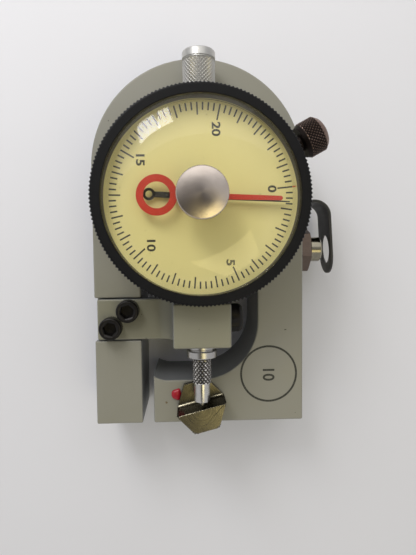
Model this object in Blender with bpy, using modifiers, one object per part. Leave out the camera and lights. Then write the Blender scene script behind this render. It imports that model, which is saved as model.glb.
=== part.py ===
"""A force gauge: a C-shaped beam springs a little under load, and a dial indicator on one leg reads it.

The beam lies on its back, its round end at +Y. The indicator's pieces are placed from the indicator's
own axis, with z = 0 at the beam's front face, and the beam's pieces from the centre of its round end.
"""

import math

import bmesh
import bpy
from mathutils import Vector

MM = 0.001

# Gap round a piece that stands in or passes through another, and between two flat faces that seat
GAP = 0.3 * MM
SEAT = 0.15 * MM
OVERRUN = 1 * MM
MERGE = 0.001 * MM

# Sides of round pieces, large and small
LARGE_SIDES = 40
SMALL_SIDES = 18
FINE_SIDES = 10
ARC_STEPS = 8
SHARP_ANGLE = math.radians(35)

# Beam: one C-shaped block, slit at the foot of its left leg
BEAM_WIDTH = 63.2 * MM
BEAM_THICKNESS = 25.4 * MM
BEAM_BELOW_ANVIL = 6.96 * MM
BEAM_LEG = 13.95 * MM
BEAM_FOOT = 13.15 * MM
BEAM_EDGE = 0.5 * MM
SLIT_WIDTH = 3.4 * MM
CUT_CORNER = 7.94 * MM
LOAD_HOLE_DEPTH = 12 * MM
LOAD_AXIS_DROP = 24.9 * MM

# Indicator's axis, measured from the centre of the beam's round end
INDICATOR_X = 0.35 * MM
INDICATOR_DROP = 10.94 * MM

# Bracket: an arm in the leg's cross slot, a cove, and the block that grips the stem
ARM_CASE_GAP = 1.9 * MM
ARM_WIDTH = 12.35 * MM
ARM_THICKNESS = 5.2 * MM
ARM_PROUD = 0.5 * MM
ARM_INSET = 0.85 * MM
BLOCK_WIDTH = 15.88 * MM
BLOCK_FRONT = 15.7 * MM
BLOCK_COVE = 5 * MM
BRACKET_EDGE = 0.35 * MM

# Cap screws that hold the arm
ARM_SCREW_HEAD = 3.35 * MM
ARM_SCREW_HEAD_HEIGHT = 4.17 * MM
ARM_SCREW_SHANK = 2 * MM
ARM_SCREW_LENGTH = 14 * MM
ARM_SCREW_STEP = 2.54 * MM
ARM_SCREW_FROM_SIDE = 7.75 * MM
ARM_SCREW_FROM_TOP = 5.86 * MM
SOCKET_ACROSS = 3.6 * MM
SOCKET_DEPTH = 2 * MM

# Screw that clamps the stem in the block
CLAMP_SCREW_HEAD = 4.05 * MM
CLAMP_SCREW_HEAD_HEIGHT = 4.1 * MM
CLAMP_SCREW_SHANK = 2 * MM
CLAMP_SCREW_FROM_TOP = 5 * MM

# Stem and spindle, whose axis lies above the beam's front
STEM_HEIGHT = 7.6 * MM
STEM_RADIUS = 4.7625 * MM
STEM_SEAT_DEPTH = 4.9 * MM
STEM_SEAT_RADIUS = 3.9 * MM
STEM_RING_RADIUS = 4 * MM
STEM_RING_HEIGHT = 1.1 * MM
STEM_GROOVE = 0.45 * MM
STEM_END_RADIUS = 4.375 * MM
STEM_END_REACH = 3.95 * MM
SPINDLE_RADIUS = 2.2 * MM
SPINDLE_TOP = 30 * MM
SPINDLE_THREAD_RADIUS = 1.5 * MM
SPINDLE_THREAD_LENGTH = 5.5 * MM
SPINDLE_TRAVEL = 0.5 * MM

# Contact point, screwed on the spindle
POINT_TOP_GAP = 0.1 * MM
POINT_SLEEVE_RADIUS = 2.7 * MM
POINT_SLEEVE_LENGTH = 6.9 * MM
POINT_SHANK_RADIUS = 2.3 * MM
POINT_SHANK_LENGTH = 5.7 * MM
POINT_TIP_RADIUS = 0.95 * MM
POINT_TIP_LENGTH = 1.3 * MM

# Bushing at the spindle's upper end, and the cap over it
BUSHING_SEAT_DEPTH = 3.35 * MM
BUSHING_LENGTH = 9.95 * MM
BUSHING_RADIUS = 3.2 * MM
DUST_CAP_GAP = 0.4 * MM
DUST_CAP_LENGTH = 14.5 * MM
DUST_CAP_RADIUS = 4.6 * MM
DUST_CAP_BAND = 2.4 * MM
DUST_CAP_GROOVE = 0.2 * MM
DUST_CAP_WALL = 1.1 * MM

# Indicator case and its back cover
CASE_LIFT = 0.5 * MM
COVER_THICKNESS = 1.8 * MM
CASE_INSET = 1.5 * MM
CASE_WALL = 2.2 * MM
CASE_DEPTH = 12.15 * MM
CASE_FLOOR = 1.7 * MM
SPIGOT_STEP = 1.25 * MM
SPIGOT_HEIGHT = 2 * MM
WIRE_RADIUS = 0.25 * MM
WIRE_GROOVE = 0.5 * MM
WIRE_FACETS = 5
BACK_SCREW_INSET = 1.8 * MM
BACK_SCREW_BOSS = 2.2 * MM
BACK_SCREW_HEAD = 1.5 * MM
BACK_SCREW_SHANK = 0.9 * MM
BACK_SCREW_HEAD_HEIGHT = 0.9 * MM
BACK_SCREW_LENGTH = 4.6 * MM
BACK_SCREW_ANGLES = (45, 135, 225, 315)

# Bezel, the ring that holds the dial in it, dial and crystal
BEZEL_RADIUS = 28.575 * MM
BEZEL_HEIGHT = 7.4 * MM
BEZEL_RIM_PROUD = 0.675 * MM
BEZEL_RIM_HEIGHT = 4.1 * MM
BEZEL_WALL = 1.65 * MM
BEZEL_EDGE = 0.3 * MM
DIAL_THICKNESS = 0.4 * MM
DIAL_HOLE = 1.5 * MM
DIAL_RING_WIDTH = 0.8 * MM
DIAL_RING_HEIGHT = 3.25 * MM
DIAL_RING_CHAMFER = 0.8 * MM
CRYSTAL_WALL = 1.3 * MM
CRYSTAL_SHOULDER = 1.6 * MM
CRYSTAL_SIDE = 1.7 * MM
CRYSTAL_RISE = 1.1 * MM
DOME_STEPS = 2
SHOULDER_STEPS = 3

# Knob, its arbor through the crystal, and the red hand that it turns
KNOB_RADIUS = 6.55 * MM
KNOB_HEIGHT = 3.9 * MM
KNOB_LIFT = 0.4 * MM
KNOB_EDGE = 0.3 * MM
KNOB_ARBOR_RADIUS = 1 * MM
MAX_HAND_HEIGHT = 20.5 * MM
MAX_HAND_THICKNESS = 0.5 * MM
MAX_HAND_HUB = 2.4 * MM
MAX_HAND_HUB_HEIGHT = 1.1 * MM
MAX_HAND_END_GAP = 4.15 * MM
MAX_HAND_ROOT = 1.6 * MM
MAX_HAND_END = 1.15 * MM
MAX_HAND_RING = 5.27 * MM
MAX_HAND_RING_BORE = 3.42 * MM
MAX_HAND_RING_REACH = 11.48 * MM
MAX_HAND_ANGLE = math.radians(-1.75)

# Black hand on the centre pinion's arbor
HAND_HEIGHT = 18.5 * MM
HAND_THICKNESS = 0.3 * MM
HAND_HUB = 1.7 * MM
HAND_HUB_HEIGHT = 1.2 * MM
HAND_END_GAP = 1.85 * MM
HAND_ROOT = 1.1 * MM
HAND_END = 0.3 * MM
HAND_RING = 1.5 * MM
HAND_RING_BORE = 0.9 * MM
HAND_RING_REACH = 13.6 * MM
HAND_TAIL = 1.2 * MM
HAND_ANGLE = math.radians(-3.4)

# Screw that clamps the bezel: its neck comes close under the bezel's edge
BEZEL_CLAMP_ANGLE = math.radians(28.8)
BEZEL_CLAMP_LUG = 2.6 * MM
BEZEL_CLAMP_DEPTH = 3.2 * MM
BEZEL_CLAMP_SHANK = 1.5 * MM
BEZEL_CLAMP_NECK = 2.3 * MM
BEZEL_CLAMP_HEAD_GAP = 3.025 * MM
BEZEL_CLAMP_HEAD = 5.05 * MM
BEZEL_CLAMP_HEAD_LENGTH = 5.8 * MM
BEZEL_CLAMP_CHAMFER = 0.9 * MM
BEZEL_CLAMP_CHAMFER_LENGTH = 1.3 * MM
BEZEL_CLAMP_DOME = 1.6 * MM

# Movement frame: two plates on three pillars, hung under the case's floor by three screws
PLATE_INSET = 5.4 * MM
PLATE_THICKNESS = 0.9 * MM
LOWER_PLATE_LIFT = 0.7 * MM
PILLAR_INSET = 2.3 * MM
PILLAR_RADIUS = 1.4 * MM
PILLAR_ANGLES = (340, 235, 175)
TENON_RADIUS = 0.8 * MM
PLATE_SCREW_HEAD = 1.4 * MM
PLATE_SCREW_SHANK = 0.6 * MM
PLATE_SCREW_HEAD_HEIGHT = 0.9 * MM
PLATE_SCREW_LENGTH = 4.6 * MM
BRIDGE_REACH = 13 * MM
BRIDGE_WIDTH = 3.2 * MM
BRIDGE_THICKNESS = 0.7 * MM
BRIDGE_LEG = 2 * MM

# Gear train: rack, then two steps up to the centre pinion, and a gear that takes up the play
TRAVEL_PER_TURN = 0.254 * MM
RACK_PINION_TEETH = 12
RACK_GEAR_TEETH = 60
MIDDLE_GEAR_TEETH = 64
TAKEUP_GEAR_TEETH = 48
PINION_TEETH = 8
RACK_GEAR_MODULE = 0.35 * MM
CENTRE_MODULE = 0.3 * MM
GEAR_THICKNESS = 0.6 * MM
ARBOR_RADIUS = 0.65 * MM
PIVOT_RADIUS = 0.45 * MM
RACK_PINION_AXIS_Y = 11.9 * MM
TAKEUP_ANGLE = math.radians(300)
RACK_NOTCHES = 10
TOOTH_TIP_SHARE = 0.13
TOOTH_ROOT_SHARE = 0.24
ADDENDUM_SHARE = 0.75
DEDENDUM_SHARE = 1.15
RACK_NOTCH_SHARE = 0.65

# Hairspring, return spring and the pin that keeps the rack from turning
HAIRSPRING_INNER = 1.6 * MM
HAIRSPRING_OUTER = 4 * MM
HAIRSPRING_WIRE = 0.1 * MM
HAIRSPRING_TURNS = 3
HAIRSPRING_STUD = 0.5 * MM
GUIDE_PIN_DROP = 6 * MM
GUIDE_PIN_RADIUS = 0.8 * MM
GUIDE_PIN_REACH = 9.5 * MM
GUIDE_RAIL_START = 8.2 * MM
GUIDE_RAIL_WIDTH = 2.8 * MM
GUIDE_RAIL_LENGTH = 6 * MM
RETURN_SPRING_X = -5.2 * MM
RETURN_SPRING_RADIUS = 1.4 * MM
RETURN_SPRING_WIRE = 0.18 * MM
RETURN_SPRING_TURNS = 6
SPRING_POST_DROP = 15.4 * MM
SPRING_POST_RADIUS = 0.8 * MM
COIL_STEPS = 9

# Anvil: a hexagonal stud with a sloping wall that the contact point rests against
ANVIL_ACROSS = 12.7 * MM
ANVIL_HEIGHT = 10 * MM
ANVIL_FLANGE = 2.1 * MM
ANVIL_TURN = math.radians(14.6)
ANVIL_X = -0.3 * MM
ANVIL_TIP_GAP = 0.5 * MM
ANVIL_SHANK = 3 * MM
ANVIL_SHANK_LENGTH = 18 * MM
ANVIL_SCREW_SHANK = 1.5 * MM
ANVIL_SCREW_HEAD = 4 * MM
ANVIL_SCREW_HEAD_HEIGHT = 2.6 * MM
ANVIL_SCREW_RECESS = 3.4 * MM
ANVIL_EDGE = 0.2 * MM
ANVIL_LAND_RADIUS = 6.85 * MM
SEAL_RADIUS = 1.4 * MM
SEAL_HEIGHT = 0.8 * MM
SEAL_ANGLE = math.radians(165)

# Load stud, its nut and the strap hook
STUD_RADIUS = 3.97 * MM
STUD_DEPTH = 10.6 * MM
STUD_REACH = 8.55 * MM
STUD_CHAMFER = 0.6 * MM
NUT_ACROSS = 12.7 * MM
NUT_THICKNESS = 3.2 * MM
NUT_TURN = math.radians(17)
NUT_EDGE = 0.4 * MM
STRAP_THICKNESS = 0.9 * MM
STRAP_WIDTH = 12.7 * MM
STRAP_BEND = 5.25 * MM
STRAP_BEND_RISE = 10.45 * MM
STRAP_LEAN = math.radians(3.3)
STRAP_END_DROP = 1.56 * MM
STRAP_EYE = 4.65 * MM

# Sizes that follow from those above
BEAM_RADIUS = BEAM_WIDTH / 2
CUT_RADIUS = BEAM_RADIUS - BEAM_LEG
BEZEL_SKIRT_RADIUS = BEZEL_RADIUS - BEZEL_RIM_PROUD
BEZEL_BORE = BEZEL_SKIRT_RADIUS - BEZEL_WALL
BEZEL_CLAMP_HEAD_START = BEZEL_RADIUS + BEZEL_CLAMP_HEAD_GAP
SPIGOT_RADIUS = BEZEL_BORE - SPIGOT_STEP
CASE_RADIUS = BEZEL_SKIRT_RADIUS - CASE_INSET
BEZEL_CLAMP_START = CASE_RADIUS - BEZEL_CLAMP_DEPTH
ARM_TOP_DROP = CASE_RADIUS + ARM_CASE_GAP
ARM_BOTTOM_DROP = ARM_TOP_DROP + ARM_WIDTH
ARM_SCREW_CENTRE_X = ARM_SCREW_FROM_SIDE - BEAM_RADIUS - INDICATOR_X
ARM_SCREW_CENTRE_Y = -ARM_TOP_DROP - ARM_SCREW_FROM_TOP
CLAMP_SCREW_DROP = ARM_TOP_DROP + CLAMP_SCREW_FROM_TOP
STEM_TOP_DROP = CASE_RADIUS - STEM_SEAT_DEPTH
STEM_END_DROP = ARM_BOTTOM_DROP + STEM_END_REACH
BUSHING_START = CASE_RADIUS - BUSHING_SEAT_DEPTH
BUSHING_END = BUSHING_START + BUSHING_LENGTH
DUST_CAP_START = CASE_RADIUS + DUST_CAP_GAP
DUST_CAP_END = DUST_CAP_START + DUST_CAP_LENGTH
POINT_TOP_DROP = STEM_END_DROP + SPINDLE_TRAVEL + POINT_TOP_GAP
POINT_LENGTH = POINT_SLEEVE_LENGTH + POINT_SHANK_LENGTH + POINT_TIP_LENGTH
ANVIL_DROP = POINT_TOP_DROP + POINT_LENGTH + ANVIL_TIP_GAP
BEAM_SIDE_DROP = INDICATOR_DROP + ANVIL_DROP + BEAM_BELOW_ANVIL
STRAP_BOTTOM = -STRAP_END_DROP - STRAP_WIDTH / 2
STRAP_LEG_TOP = STRAP_BEND_RISE + STRAP_BEND * math.sin(STRAP_LEAN)
STRAP_REACH = (
    SEAT + STRAP_BEND + STRAP_BEND * math.cos(STRAP_LEAN)
    + (STRAP_LEG_TOP - STRAP_BOTTOM) * math.tan(STRAP_LEAN)
)
CASE_BACK = CASE_LIFT + COVER_THICKNESS + SEAT
CASE_SHOULDER = CASE_BACK + CASE_DEPTH
FLOOR_TOP = CASE_SHOULDER + SPIGOT_HEIGHT
FLOOR_BOTTOM = FLOOR_TOP - CASE_FLOOR
CASE_BORE = CASE_RADIUS - CASE_WALL
BACK_SCREW_CIRCLE = CASE_BORE - BACK_SCREW_INSET
PLATE_RADIUS = CASE_BORE - PLATE_INSET
PILLAR_CIRCLE = PLATE_RADIUS - PILLAR_INSET
BEZEL_CLAMP_HEIGHT = CASE_SHOULDER - BEZEL_CLAMP_LUG - SEAT
BEZEL_BOTTOM = CASE_SHOULDER + GAP
BEZEL_TOP = BEZEL_BOTTOM + BEZEL_HEIGHT
DIAL_BOTTOM = FLOOR_TOP + GAP
DIAL_TOP = DIAL_BOTTOM + DIAL_THICKNESS
DIAL_RADIUS = BEZEL_BORE - GAP
DIAL_RING_BORE = DIAL_RADIUS - DIAL_RING_WIDTH
MAX_HAND_REACH = DIAL_RING_BORE - MAX_HAND_END_GAP
HAND_REACH = DIAL_RING_BORE - HAND_END_GAP
RING_BOTTOM = DIAL_TOP + SEAT
RING_TOP = RING_BOTTOM + DIAL_RING_HEIGHT
CRYSTAL_RADIUS = BEZEL_BORE - GAP
CRYSTAL_BOTTOM = RING_TOP + GAP
CRYSTAL_SHOULDER_Z = CRYSTAL_BOTTOM + CRYSTAL_SIDE
CRYSTAL_TOP = CRYSTAL_SHOULDER_Z + CRYSTAL_SHOULDER + CRYSTAL_RISE
KNOB_BOTTOM = CRYSTAL_TOP + KNOB_LIFT
LOWER_PLATE_BOTTOM = CASE_LIFT + COVER_THICKNESS + LOWER_PLATE_LIFT
LOWER_PLATE_TOP = LOWER_PLATE_BOTTOM + PLATE_THICKNESS
UPPER_PLATE_TOP = FLOOR_BOTTOM - GAP
UPPER_PLATE_BOTTOM = UPPER_PLATE_TOP - PLATE_THICKNESS
BRIDGE_BOTTOM = STEM_HEIGHT + SPINDLE_RADIUS + GAP
BRIDGE_TOP = BRIDGE_BOTTOM + BRIDGE_THICKNESS
FIRST_LEVEL = BRIDGE_TOP + GAP
SECOND_LEVEL = FIRST_LEVEL + GEAR_THICKNESS + GAP
MIDDLE_RATIO = RACK_GEAR_TEETH / PINION_TEETH
CENTRE_RATIO = MIDDLE_GEAR_TEETH / PINION_TEETH
RACK_PITCH_RADIUS = TRAVEL_PER_TURN * MIDDLE_RATIO * CENTRE_RATIO / math.tau
RACK_MODULE = 2 * RACK_PITCH_RADIUS / RACK_PINION_TEETH
RACK_PITCH_LINE = SPINDLE_RADIUS - ADDENDUM_SHARE * RACK_MODULE
RACK_PINION_AXIS_X = RACK_PITCH_LINE + RACK_PITCH_RADIUS
MIDDLE_DISTANCE = RACK_GEAR_MODULE * (RACK_GEAR_TEETH + PINION_TEETH) / 2
CENTRE_DISTANCE = CENTRE_MODULE * (MIDDLE_GEAR_TEETH + PINION_TEETH) / 2
TAKEUP_DISTANCE = CENTRE_MODULE * (TAKEUP_GEAR_TEETH + PINION_TEETH) / 2
SHANK_HOLE = ANVIL_SHANK + GAP

# Directions: a piece's own +Z turned to lie along the named axis
ALONG_X = (0, math.radians(90), 0)
ALONG_Y = (math.radians(-90), 0, 0)
DOWN_Y = (math.radians(90), 0, 0)
ALONG_MINUS_X = (0, math.radians(-90), 0)


def clear_scene():
    for obj in list(bpy.data.objects):
        bpy.data.objects.remove(obj)


def collection(name):
    made = bpy.data.collections.new(name)
    bpy.context.scene.collection.children.link(made)
    return made


def material(name, colour, roughness, metallic):
    made = bpy.data.materials.new(name)
    made.use_nodes = True
    shader = made.node_tree.nodes["Principled BSDF"]
    shader.inputs["Base Color"].default_value = (*colour, 1)
    shader.inputs["Roughness"].default_value = roughness
    shader.inputs["Metallic"].default_value = metallic
    made.diffuse_color = (*colour, 1)
    return made


clear_scene()
PARTS = collection("force_gauge")
CUTTERS = collection("cutters")
PAINT = material("grey_paint", (0.23, 0.22, 0.17), 0.45, 0)
BLACK_STEEL = material("black_steel", (0.02, 0.02, 0.02), 0.4, 0.8)
BRIGHT_STEEL = material("bright_steel", (0.6, 0.6, 0.6), 0.25, 1)
BRASS = material("brass", (0.6, 0.45, 0.2), 0.35, 1)
NICKEL = material("yellow_nickel", (0.5, 0.45, 0.32), 0.25, 1)
BRONZE = material("brown_steel", (0.12, 0.08, 0.06), 0.4, 0.8)
BLACK_PAINT = material("black_enamel", (0.01, 0.01, 0.01), 0.3, 0)
DIAL_PAINT = material("dial_yellow", (0.85, 0.78, 0.4), 0.6, 0)
CLEAR = material("clear_plastic", (0.9, 0.9, 0.85), 0.05, 0)
RED = material("red_enamel", (0.6, 0.03, 0.02), 0.4, 0)


def place(obj, finish, parent, at, turn):
    """Put a piece in the part's collection, or a cutter, which has no finish, in the cutters'."""
    obj.parent = parent
    obj.location = at
    obj.rotation_euler = turn
    if finish is None:
        CUTTERS.objects.link(obj)
        obj.hide_render = True
        obj.display_type = "WIRE"
    else:
        PARTS.objects.link(obj)
        obj.data.materials.append(finish)
        obj.data.shade_smooth()
        obj.data.set_sharp_from_angle(angle=SHARP_ANGLE)
    return obj


def empty(name, at, parent=None):
    made = bpy.data.objects.new(name, None)
    made.location = at
    made.parent = parent
    PARTS.objects.link(made)
    return made


def turned(name, finish, parent, profile, at=(0, 0, 0), turn=(0, 0, 0), ring=False, sides=SMALL_SIDES):
    """A turned piece: (radius, height) points run down its outer side, and up its bore if it's a ring."""
    edges = [(i, i + 1) for i in range(len(profile) - 1)]
    if ring:
        edges.append((len(profile) - 1, 0))
    mesh = bpy.data.meshes.new(name)
    mesh.from_pydata([(radius, 0, height) for radius, height in profile], edges, [])
    obj = place(bpy.data.objects.new(name, mesh), finish, parent, at, turn)
    screw = obj.modifiers.new("turn", "SCREW")
    screw.steps = sides
    screw.render_steps = sides
    screw.use_merge_vertices = True
    screw.merge_threshold = MERGE
    return obj


def rod(name, finish, parent, radius, low, high, at=(0, 0, 0), turn=(0, 0, 0), sides=SMALL_SIDES):
    """A plain round rod from low to high along its own axis."""
    built = bmesh.new()
    bmesh.ops.create_cone(
        built, cap_ends=True, segments=sides, radius1=radius, radius2=radius, depth=high - low
    )
    bmesh.ops.translate(built, verts=built.verts, vec=(0, 0, (low + high) / 2))
    return from_bmesh(name, built, finish, parent, at, turn)


def boxes(name, finish, parent, corners, at=(0, 0, 0), turn=(0, 0, 0)):
    """One object of separate boxes, each given by its low and its high corner."""
    built = bmesh.new()
    for low, high in corners:
        size = Vector(high) - Vector(low)
        made = bmesh.ops.create_cube(built, size=1)["verts"]
        bmesh.ops.scale(built, verts=made, vec=size)
        bmesh.ops.translate(built, verts=made, vec=Vector(low) + size / 2)
    return from_bmesh(name, built, finish, parent, at, turn)


def from_bmesh(name, built, finish, parent, at, turn):
    mesh = bpy.data.meshes.new(name)
    built.to_mesh(mesh)
    built.free()
    return place(bpy.data.objects.new(name, mesh), finish, parent, at, turn)


def plate(name, finish, parent, outlines, low, high, at=(0, 0, 0), turn=(0, 0, 0)):
    """A flat piece from low to high: its outline first, then the outlines of its holes."""
    curve = bpy.data.curves.new(name, "CURVE")
    curve.dimensions = "2D"
    curve.fill_mode = "BOTH"
    curve.extrude = (high - low) / 2
    for outline in outlines:
        spline = curve.splines.new("POLY")
        spline.points.add(len(outline) - 1)
        spline.use_cyclic_u = True
        for point, (x, y) in zip(spline.points, outline):
            point.co = (x, y, 0, 1)
    drawn = bpy.data.objects.new(name + "_outline", curve)
    CUTTERS.objects.link(drawn)
    graph = bpy.context.evaluated_depsgraph_get()
    mesh = bpy.data.meshes.new_from_object(drawn.evaluated_get(graph))
    bpy.data.objects.remove(drawn)
    built = bmesh.new()
    built.from_mesh(mesh)
    bmesh.ops.remove_doubles(built, verts=built.verts, dist=MERGE)
    bmesh.ops.translate(built, verts=built.verts, vec=(0, 0, (low + high) / 2))
    bmesh.ops.recalc_face_normals(built, faces=built.faces)
    bpy.data.meshes.remove(mesh)
    return from_bmesh(name, built, finish, parent, at, turn)


def tube(name, finish, parent, points, radius):
    """A round wire along the points, with filled ends."""
    curve = bpy.data.curves.new(name, "CURVE")
    curve.dimensions = "3D"
    curve.bevel_depth = radius
    curve.bevel_resolution = 1
    curve.use_fill_caps = True
    spline = curve.splines.new("POLY")
    spline.points.add(len(points) - 1)
    for point, place_at in zip(spline.points, points):
        point.co = (*place_at, 1)
    obj = bpy.data.objects.new(name, curve)
    obj.parent = parent
    curve.materials.append(finish)
    PARTS.objects.link(obj)
    return obj


def cut(obj, *cutters):
    for cutter in cutters:
        modifier = obj.modifiers.new("cut", "BOOLEAN")
        modifier.object = cutter


def join(obj, *others):
    for other in others:
        modifier = obj.modifiers.new("join", "BOOLEAN")
        modifier.operation = "UNION"
        modifier.object = other


def keep_inside(obj, shape):
    modifier = obj.modifiers.new("trim", "BOOLEAN")
    modifier.operation = "INTERSECT"
    modifier.object = shape


def ease_edges(obj, width, segments=1):
    modifier = obj.modifiers.new("edges", "BEVEL")
    modifier.width = width
    modifier.segments = segments
    modifier.limit_method = "ANGLE"
    modifier.angle_limit = SHARP_ANGLE


def arc(centre_x, centre_y, radius, start, end, steps=ARC_STEPS):
    """Points along an arc, from the start to the end angle in degrees."""
    angles = [math.radians(start + (end - start) * i / steps) for i in range(steps + 1)]
    return [(centre_x + radius * math.cos(a), centre_y + radius * math.sin(a)) for a in angles]


def circle(centre_x, centre_y, radius, sides=SMALL_SIDES):
    return arc(centre_x, centre_y, radius, 0, 360, sides)[:-1]


def hexagon(across, turn):
    corner = across / math.sqrt(3)
    start = math.degrees(turn)
    return arc(0, 0, corner, start, start + 360, 6)[:-1]


def polar(radius, angle, height=0):
    return (radius * math.cos(angle), radius * math.sin(angle), height)


def gear_outline(teeth, module, phase):
    """A toothed wheel round its own axis, with the middle of one tooth at the phase angle."""
    tip = module * (teeth / 2 + ADDENDUM_SHARE)
    root = module * (teeth / 2 - DEDENDUM_SHARE)
    pitch = math.tau / teeth
    corners = (
        (-TOOTH_ROOT_SHARE, root),
        (-TOOTH_TIP_SHARE, tip),
        (TOOTH_TIP_SHARE, tip),
        (TOOTH_ROOT_SHARE, root),
    )
    outline = []
    for tooth in range(teeth):
        outline += [polar(radius, phase + pitch * (tooth + share))[:2] for share, radius in corners]
    return outline


def cap_screw(name, parent, at, turn, head, head_height, shank, length):
    """A socket head screw whose head stands up from the seat at its own z = 0."""
    profile = [
        (0, head_height),
        (head - BRACKET_EDGE, head_height),
        (head, head_height - BRACKET_EDGE),
        (head, 0),
        (shank, 0),
        (shank, -length),
        (0, -length),
    ]
    screw = turned(name, BLACK_STEEL, parent, profile, at, turn)
    low = head_height - SOCKET_DEPTH
    top = head_height + OVERRUN
    socket = plate(name + "_socket", None, parent, [hexagon(SOCKET_ACROSS, 0)], low, top, at, turn)
    cut(screw, socket)
    return screw


def make_beam(gauge):
    """The C-shaped block, with the leg's cross slot and the holes of what is fixed to it."""
    bottom = -BEAM_SIDE_DROP
    foot_top = bottom + BEAM_FOOT
    slit_right = -CUT_RADIUS + SLIT_WIDTH
    outline = [(-BEAM_RADIUS, bottom)]
    outline += arc(0, 0, BEAM_RADIUS, 180, 0, 2 * ARC_STEPS)
    outline += [(BEAM_RADIUS, bottom), (slit_right, bottom)]
    corner_start = 270 - math.degrees(math.asin(1 - SLIT_WIDTH / CUT_CORNER))
    corner = (-CUT_RADIUS + CUT_CORNER, foot_top + CUT_CORNER)
    outline += arc(*corner, CUT_CORNER, corner_start, 270, ARC_STEPS // 2)
    outline += arc(0, foot_top + CUT_RADIUS, CUT_RADIUS, 270, 360)
    outline += arc(0, 0, CUT_RADIUS, 0, 180, 2 * ARC_STEPS)
    outline.append((-CUT_RADIUS, bottom))
    beam = plate("beam", PAINT, gauge, [outline], 0, BEAM_THICKNESS)
    ease_edges(beam, BEAM_EDGE)

    arm_top = -INDICATOR_DROP - ARM_TOP_DROP + GAP
    arm_bottom = -INDICATOR_DROP - ARM_BOTTOM_DROP - GAP
    slot_floor = BEAM_THICKNESS - ARM_THICKNESS + ARM_PROUD - SEAT
    slot_low = (-BEAM_RADIUS - OVERRUN, arm_bottom, slot_floor)
    slot_high = (-CUT_RADIUS + OVERRUN, arm_top, BEAM_THICKNESS + OVERRUN)
    slot = boxes("beam_slot", None, gauge, [(slot_low, slot_high)])

    load_y = -LOAD_AXIS_DROP
    middle = BEAM_THICKNESS / 2
    stud_hole = rod(
        "stud_hole", None, gauge, STUD_RADIUS + GAP, -STUD_DEPTH - GAP, OVERRUN,
        (BEAM_RADIUS, load_y, middle), ALONG_X,
    )
    load_hole = rod(
        "load_hole", None, gauge, STUD_RADIUS, -LOAD_HOLE_DEPTH, OVERRUN,
        (-BEAM_RADIUS, load_y, middle), ALONG_MINUS_X,
    )
    anvil_at = (INDICATOR_X + ANVIL_X, -INDICATOR_DROP - ANVIL_DROP, 0)
    anvil_hole = rod("anvil_hole", None, gauge, SHANK_HOLE, -OVERRUN, BEAM_THICKNESS + OVERRUN, anvil_at)
    recess = rod(
        "anvil_screw_recess", None, gauge, ANVIL_SCREW_HEAD + GAP, -OVERRUN, ANVIL_SCREW_RECESS, anvil_at
    )
    cut(beam, slot, stud_hole, load_hole, anvil_hole, recess)

    for number, (x, y) in enumerate(arm_screw_places(), start=1):
        depth = BEAM_THICKNESS + ARM_PROUD - ARM_SCREW_LENGTH - GAP
        at = (INDICATOR_X + x, y - INDICATOR_DROP, 0)
        hole = rod(
            f"arm_screw_hole_{number}", None, gauge, ARM_SCREW_SHANK + GAP, depth, slot_floor + OVERRUN, at,
            sides=FINE_SIDES,
        )
        cut(beam, hole)
    return beam


def arm_screw_places():
    """The two screws stand on a diagonal, the upper one to the right."""
    return [
        (ARM_SCREW_CENTRE_X + side * ARM_SCREW_STEP, ARM_SCREW_CENTRE_Y + side * ARM_SCREW_STEP)
        for side in (1, -1)
    ]


def make_bracket(dial_axis):
    """Arm, cove and stem block in one piece, drawn in the XZ plane and run along Y."""
    half = BLOCK_WIDTH / 2
    arm_left = -BEAM_RADIUS - INDICATOR_X + ARM_INSET
    arm_back = ARM_PROUD - ARM_THICKNESS
    outline = [(arm_left, arm_back), (half, arm_back), (half, BLOCK_FRONT), (-half, BLOCK_FRONT)]
    outline += arc(-half - BLOCK_COVE, ARM_PROUD + BLOCK_COVE, BLOCK_COVE, 0, -90)
    outline.append((arm_left, ARM_PROUD))
    bracket = plate("bracket", PAINT, dial_axis, [outline], ARM_TOP_DROP, ARM_BOTTOM_DROP, turn=DOWN_Y)
    ease_edges(bracket, BRACKET_EDGE)
    bore = rod(
        "stem_bore", None, dial_axis, STEM_RADIUS + GAP, ARM_TOP_DROP - OVERRUN, ARM_BOTTOM_DROP + OVERRUN,
        (0, 0, STEM_HEIGHT), DOWN_Y,
    )
    clamp_hole = rod(
        "stem_clamp_hole", None, dial_axis, CLAMP_SCREW_SHANK + GAP, 0, half + OVERRUN,
        (0, -CLAMP_SCREW_DROP, STEM_HEIGHT), ALONG_X, sides=FINE_SIDES,
    )
    cut(bracket, bore, clamp_hole)
    for number, (x, y) in enumerate(arm_screw_places(), start=1):
        low = arm_back - OVERRUN
        high = ARM_PROUD + OVERRUN
        hole = rod(
            f"arm_hole_{number}", None, dial_axis, ARM_SCREW_SHANK + GAP, low, high, (x, y, 0),
            sides=FINE_SIDES,
        )
        cut(bracket, hole)
        cap_screw(
            f"arm_screw_{number}", dial_axis, (x, y, ARM_PROUD + SEAT), (0, 0, 0), ARM_SCREW_HEAD,
            ARM_SCREW_HEAD_HEIGHT, ARM_SCREW_SHANK, ARM_SCREW_LENGTH,
        )
    seat = half + SEAT
    cap_screw(
        "stem_clamp_screw", dial_axis, (seat, -CLAMP_SCREW_DROP, STEM_HEIGHT), ALONG_X, CLAMP_SCREW_HEAD,
        CLAMP_SCREW_HEAD_HEIGHT, CLAMP_SCREW_SHANK, seat - STEM_RADIUS - GAP,
    )


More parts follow.
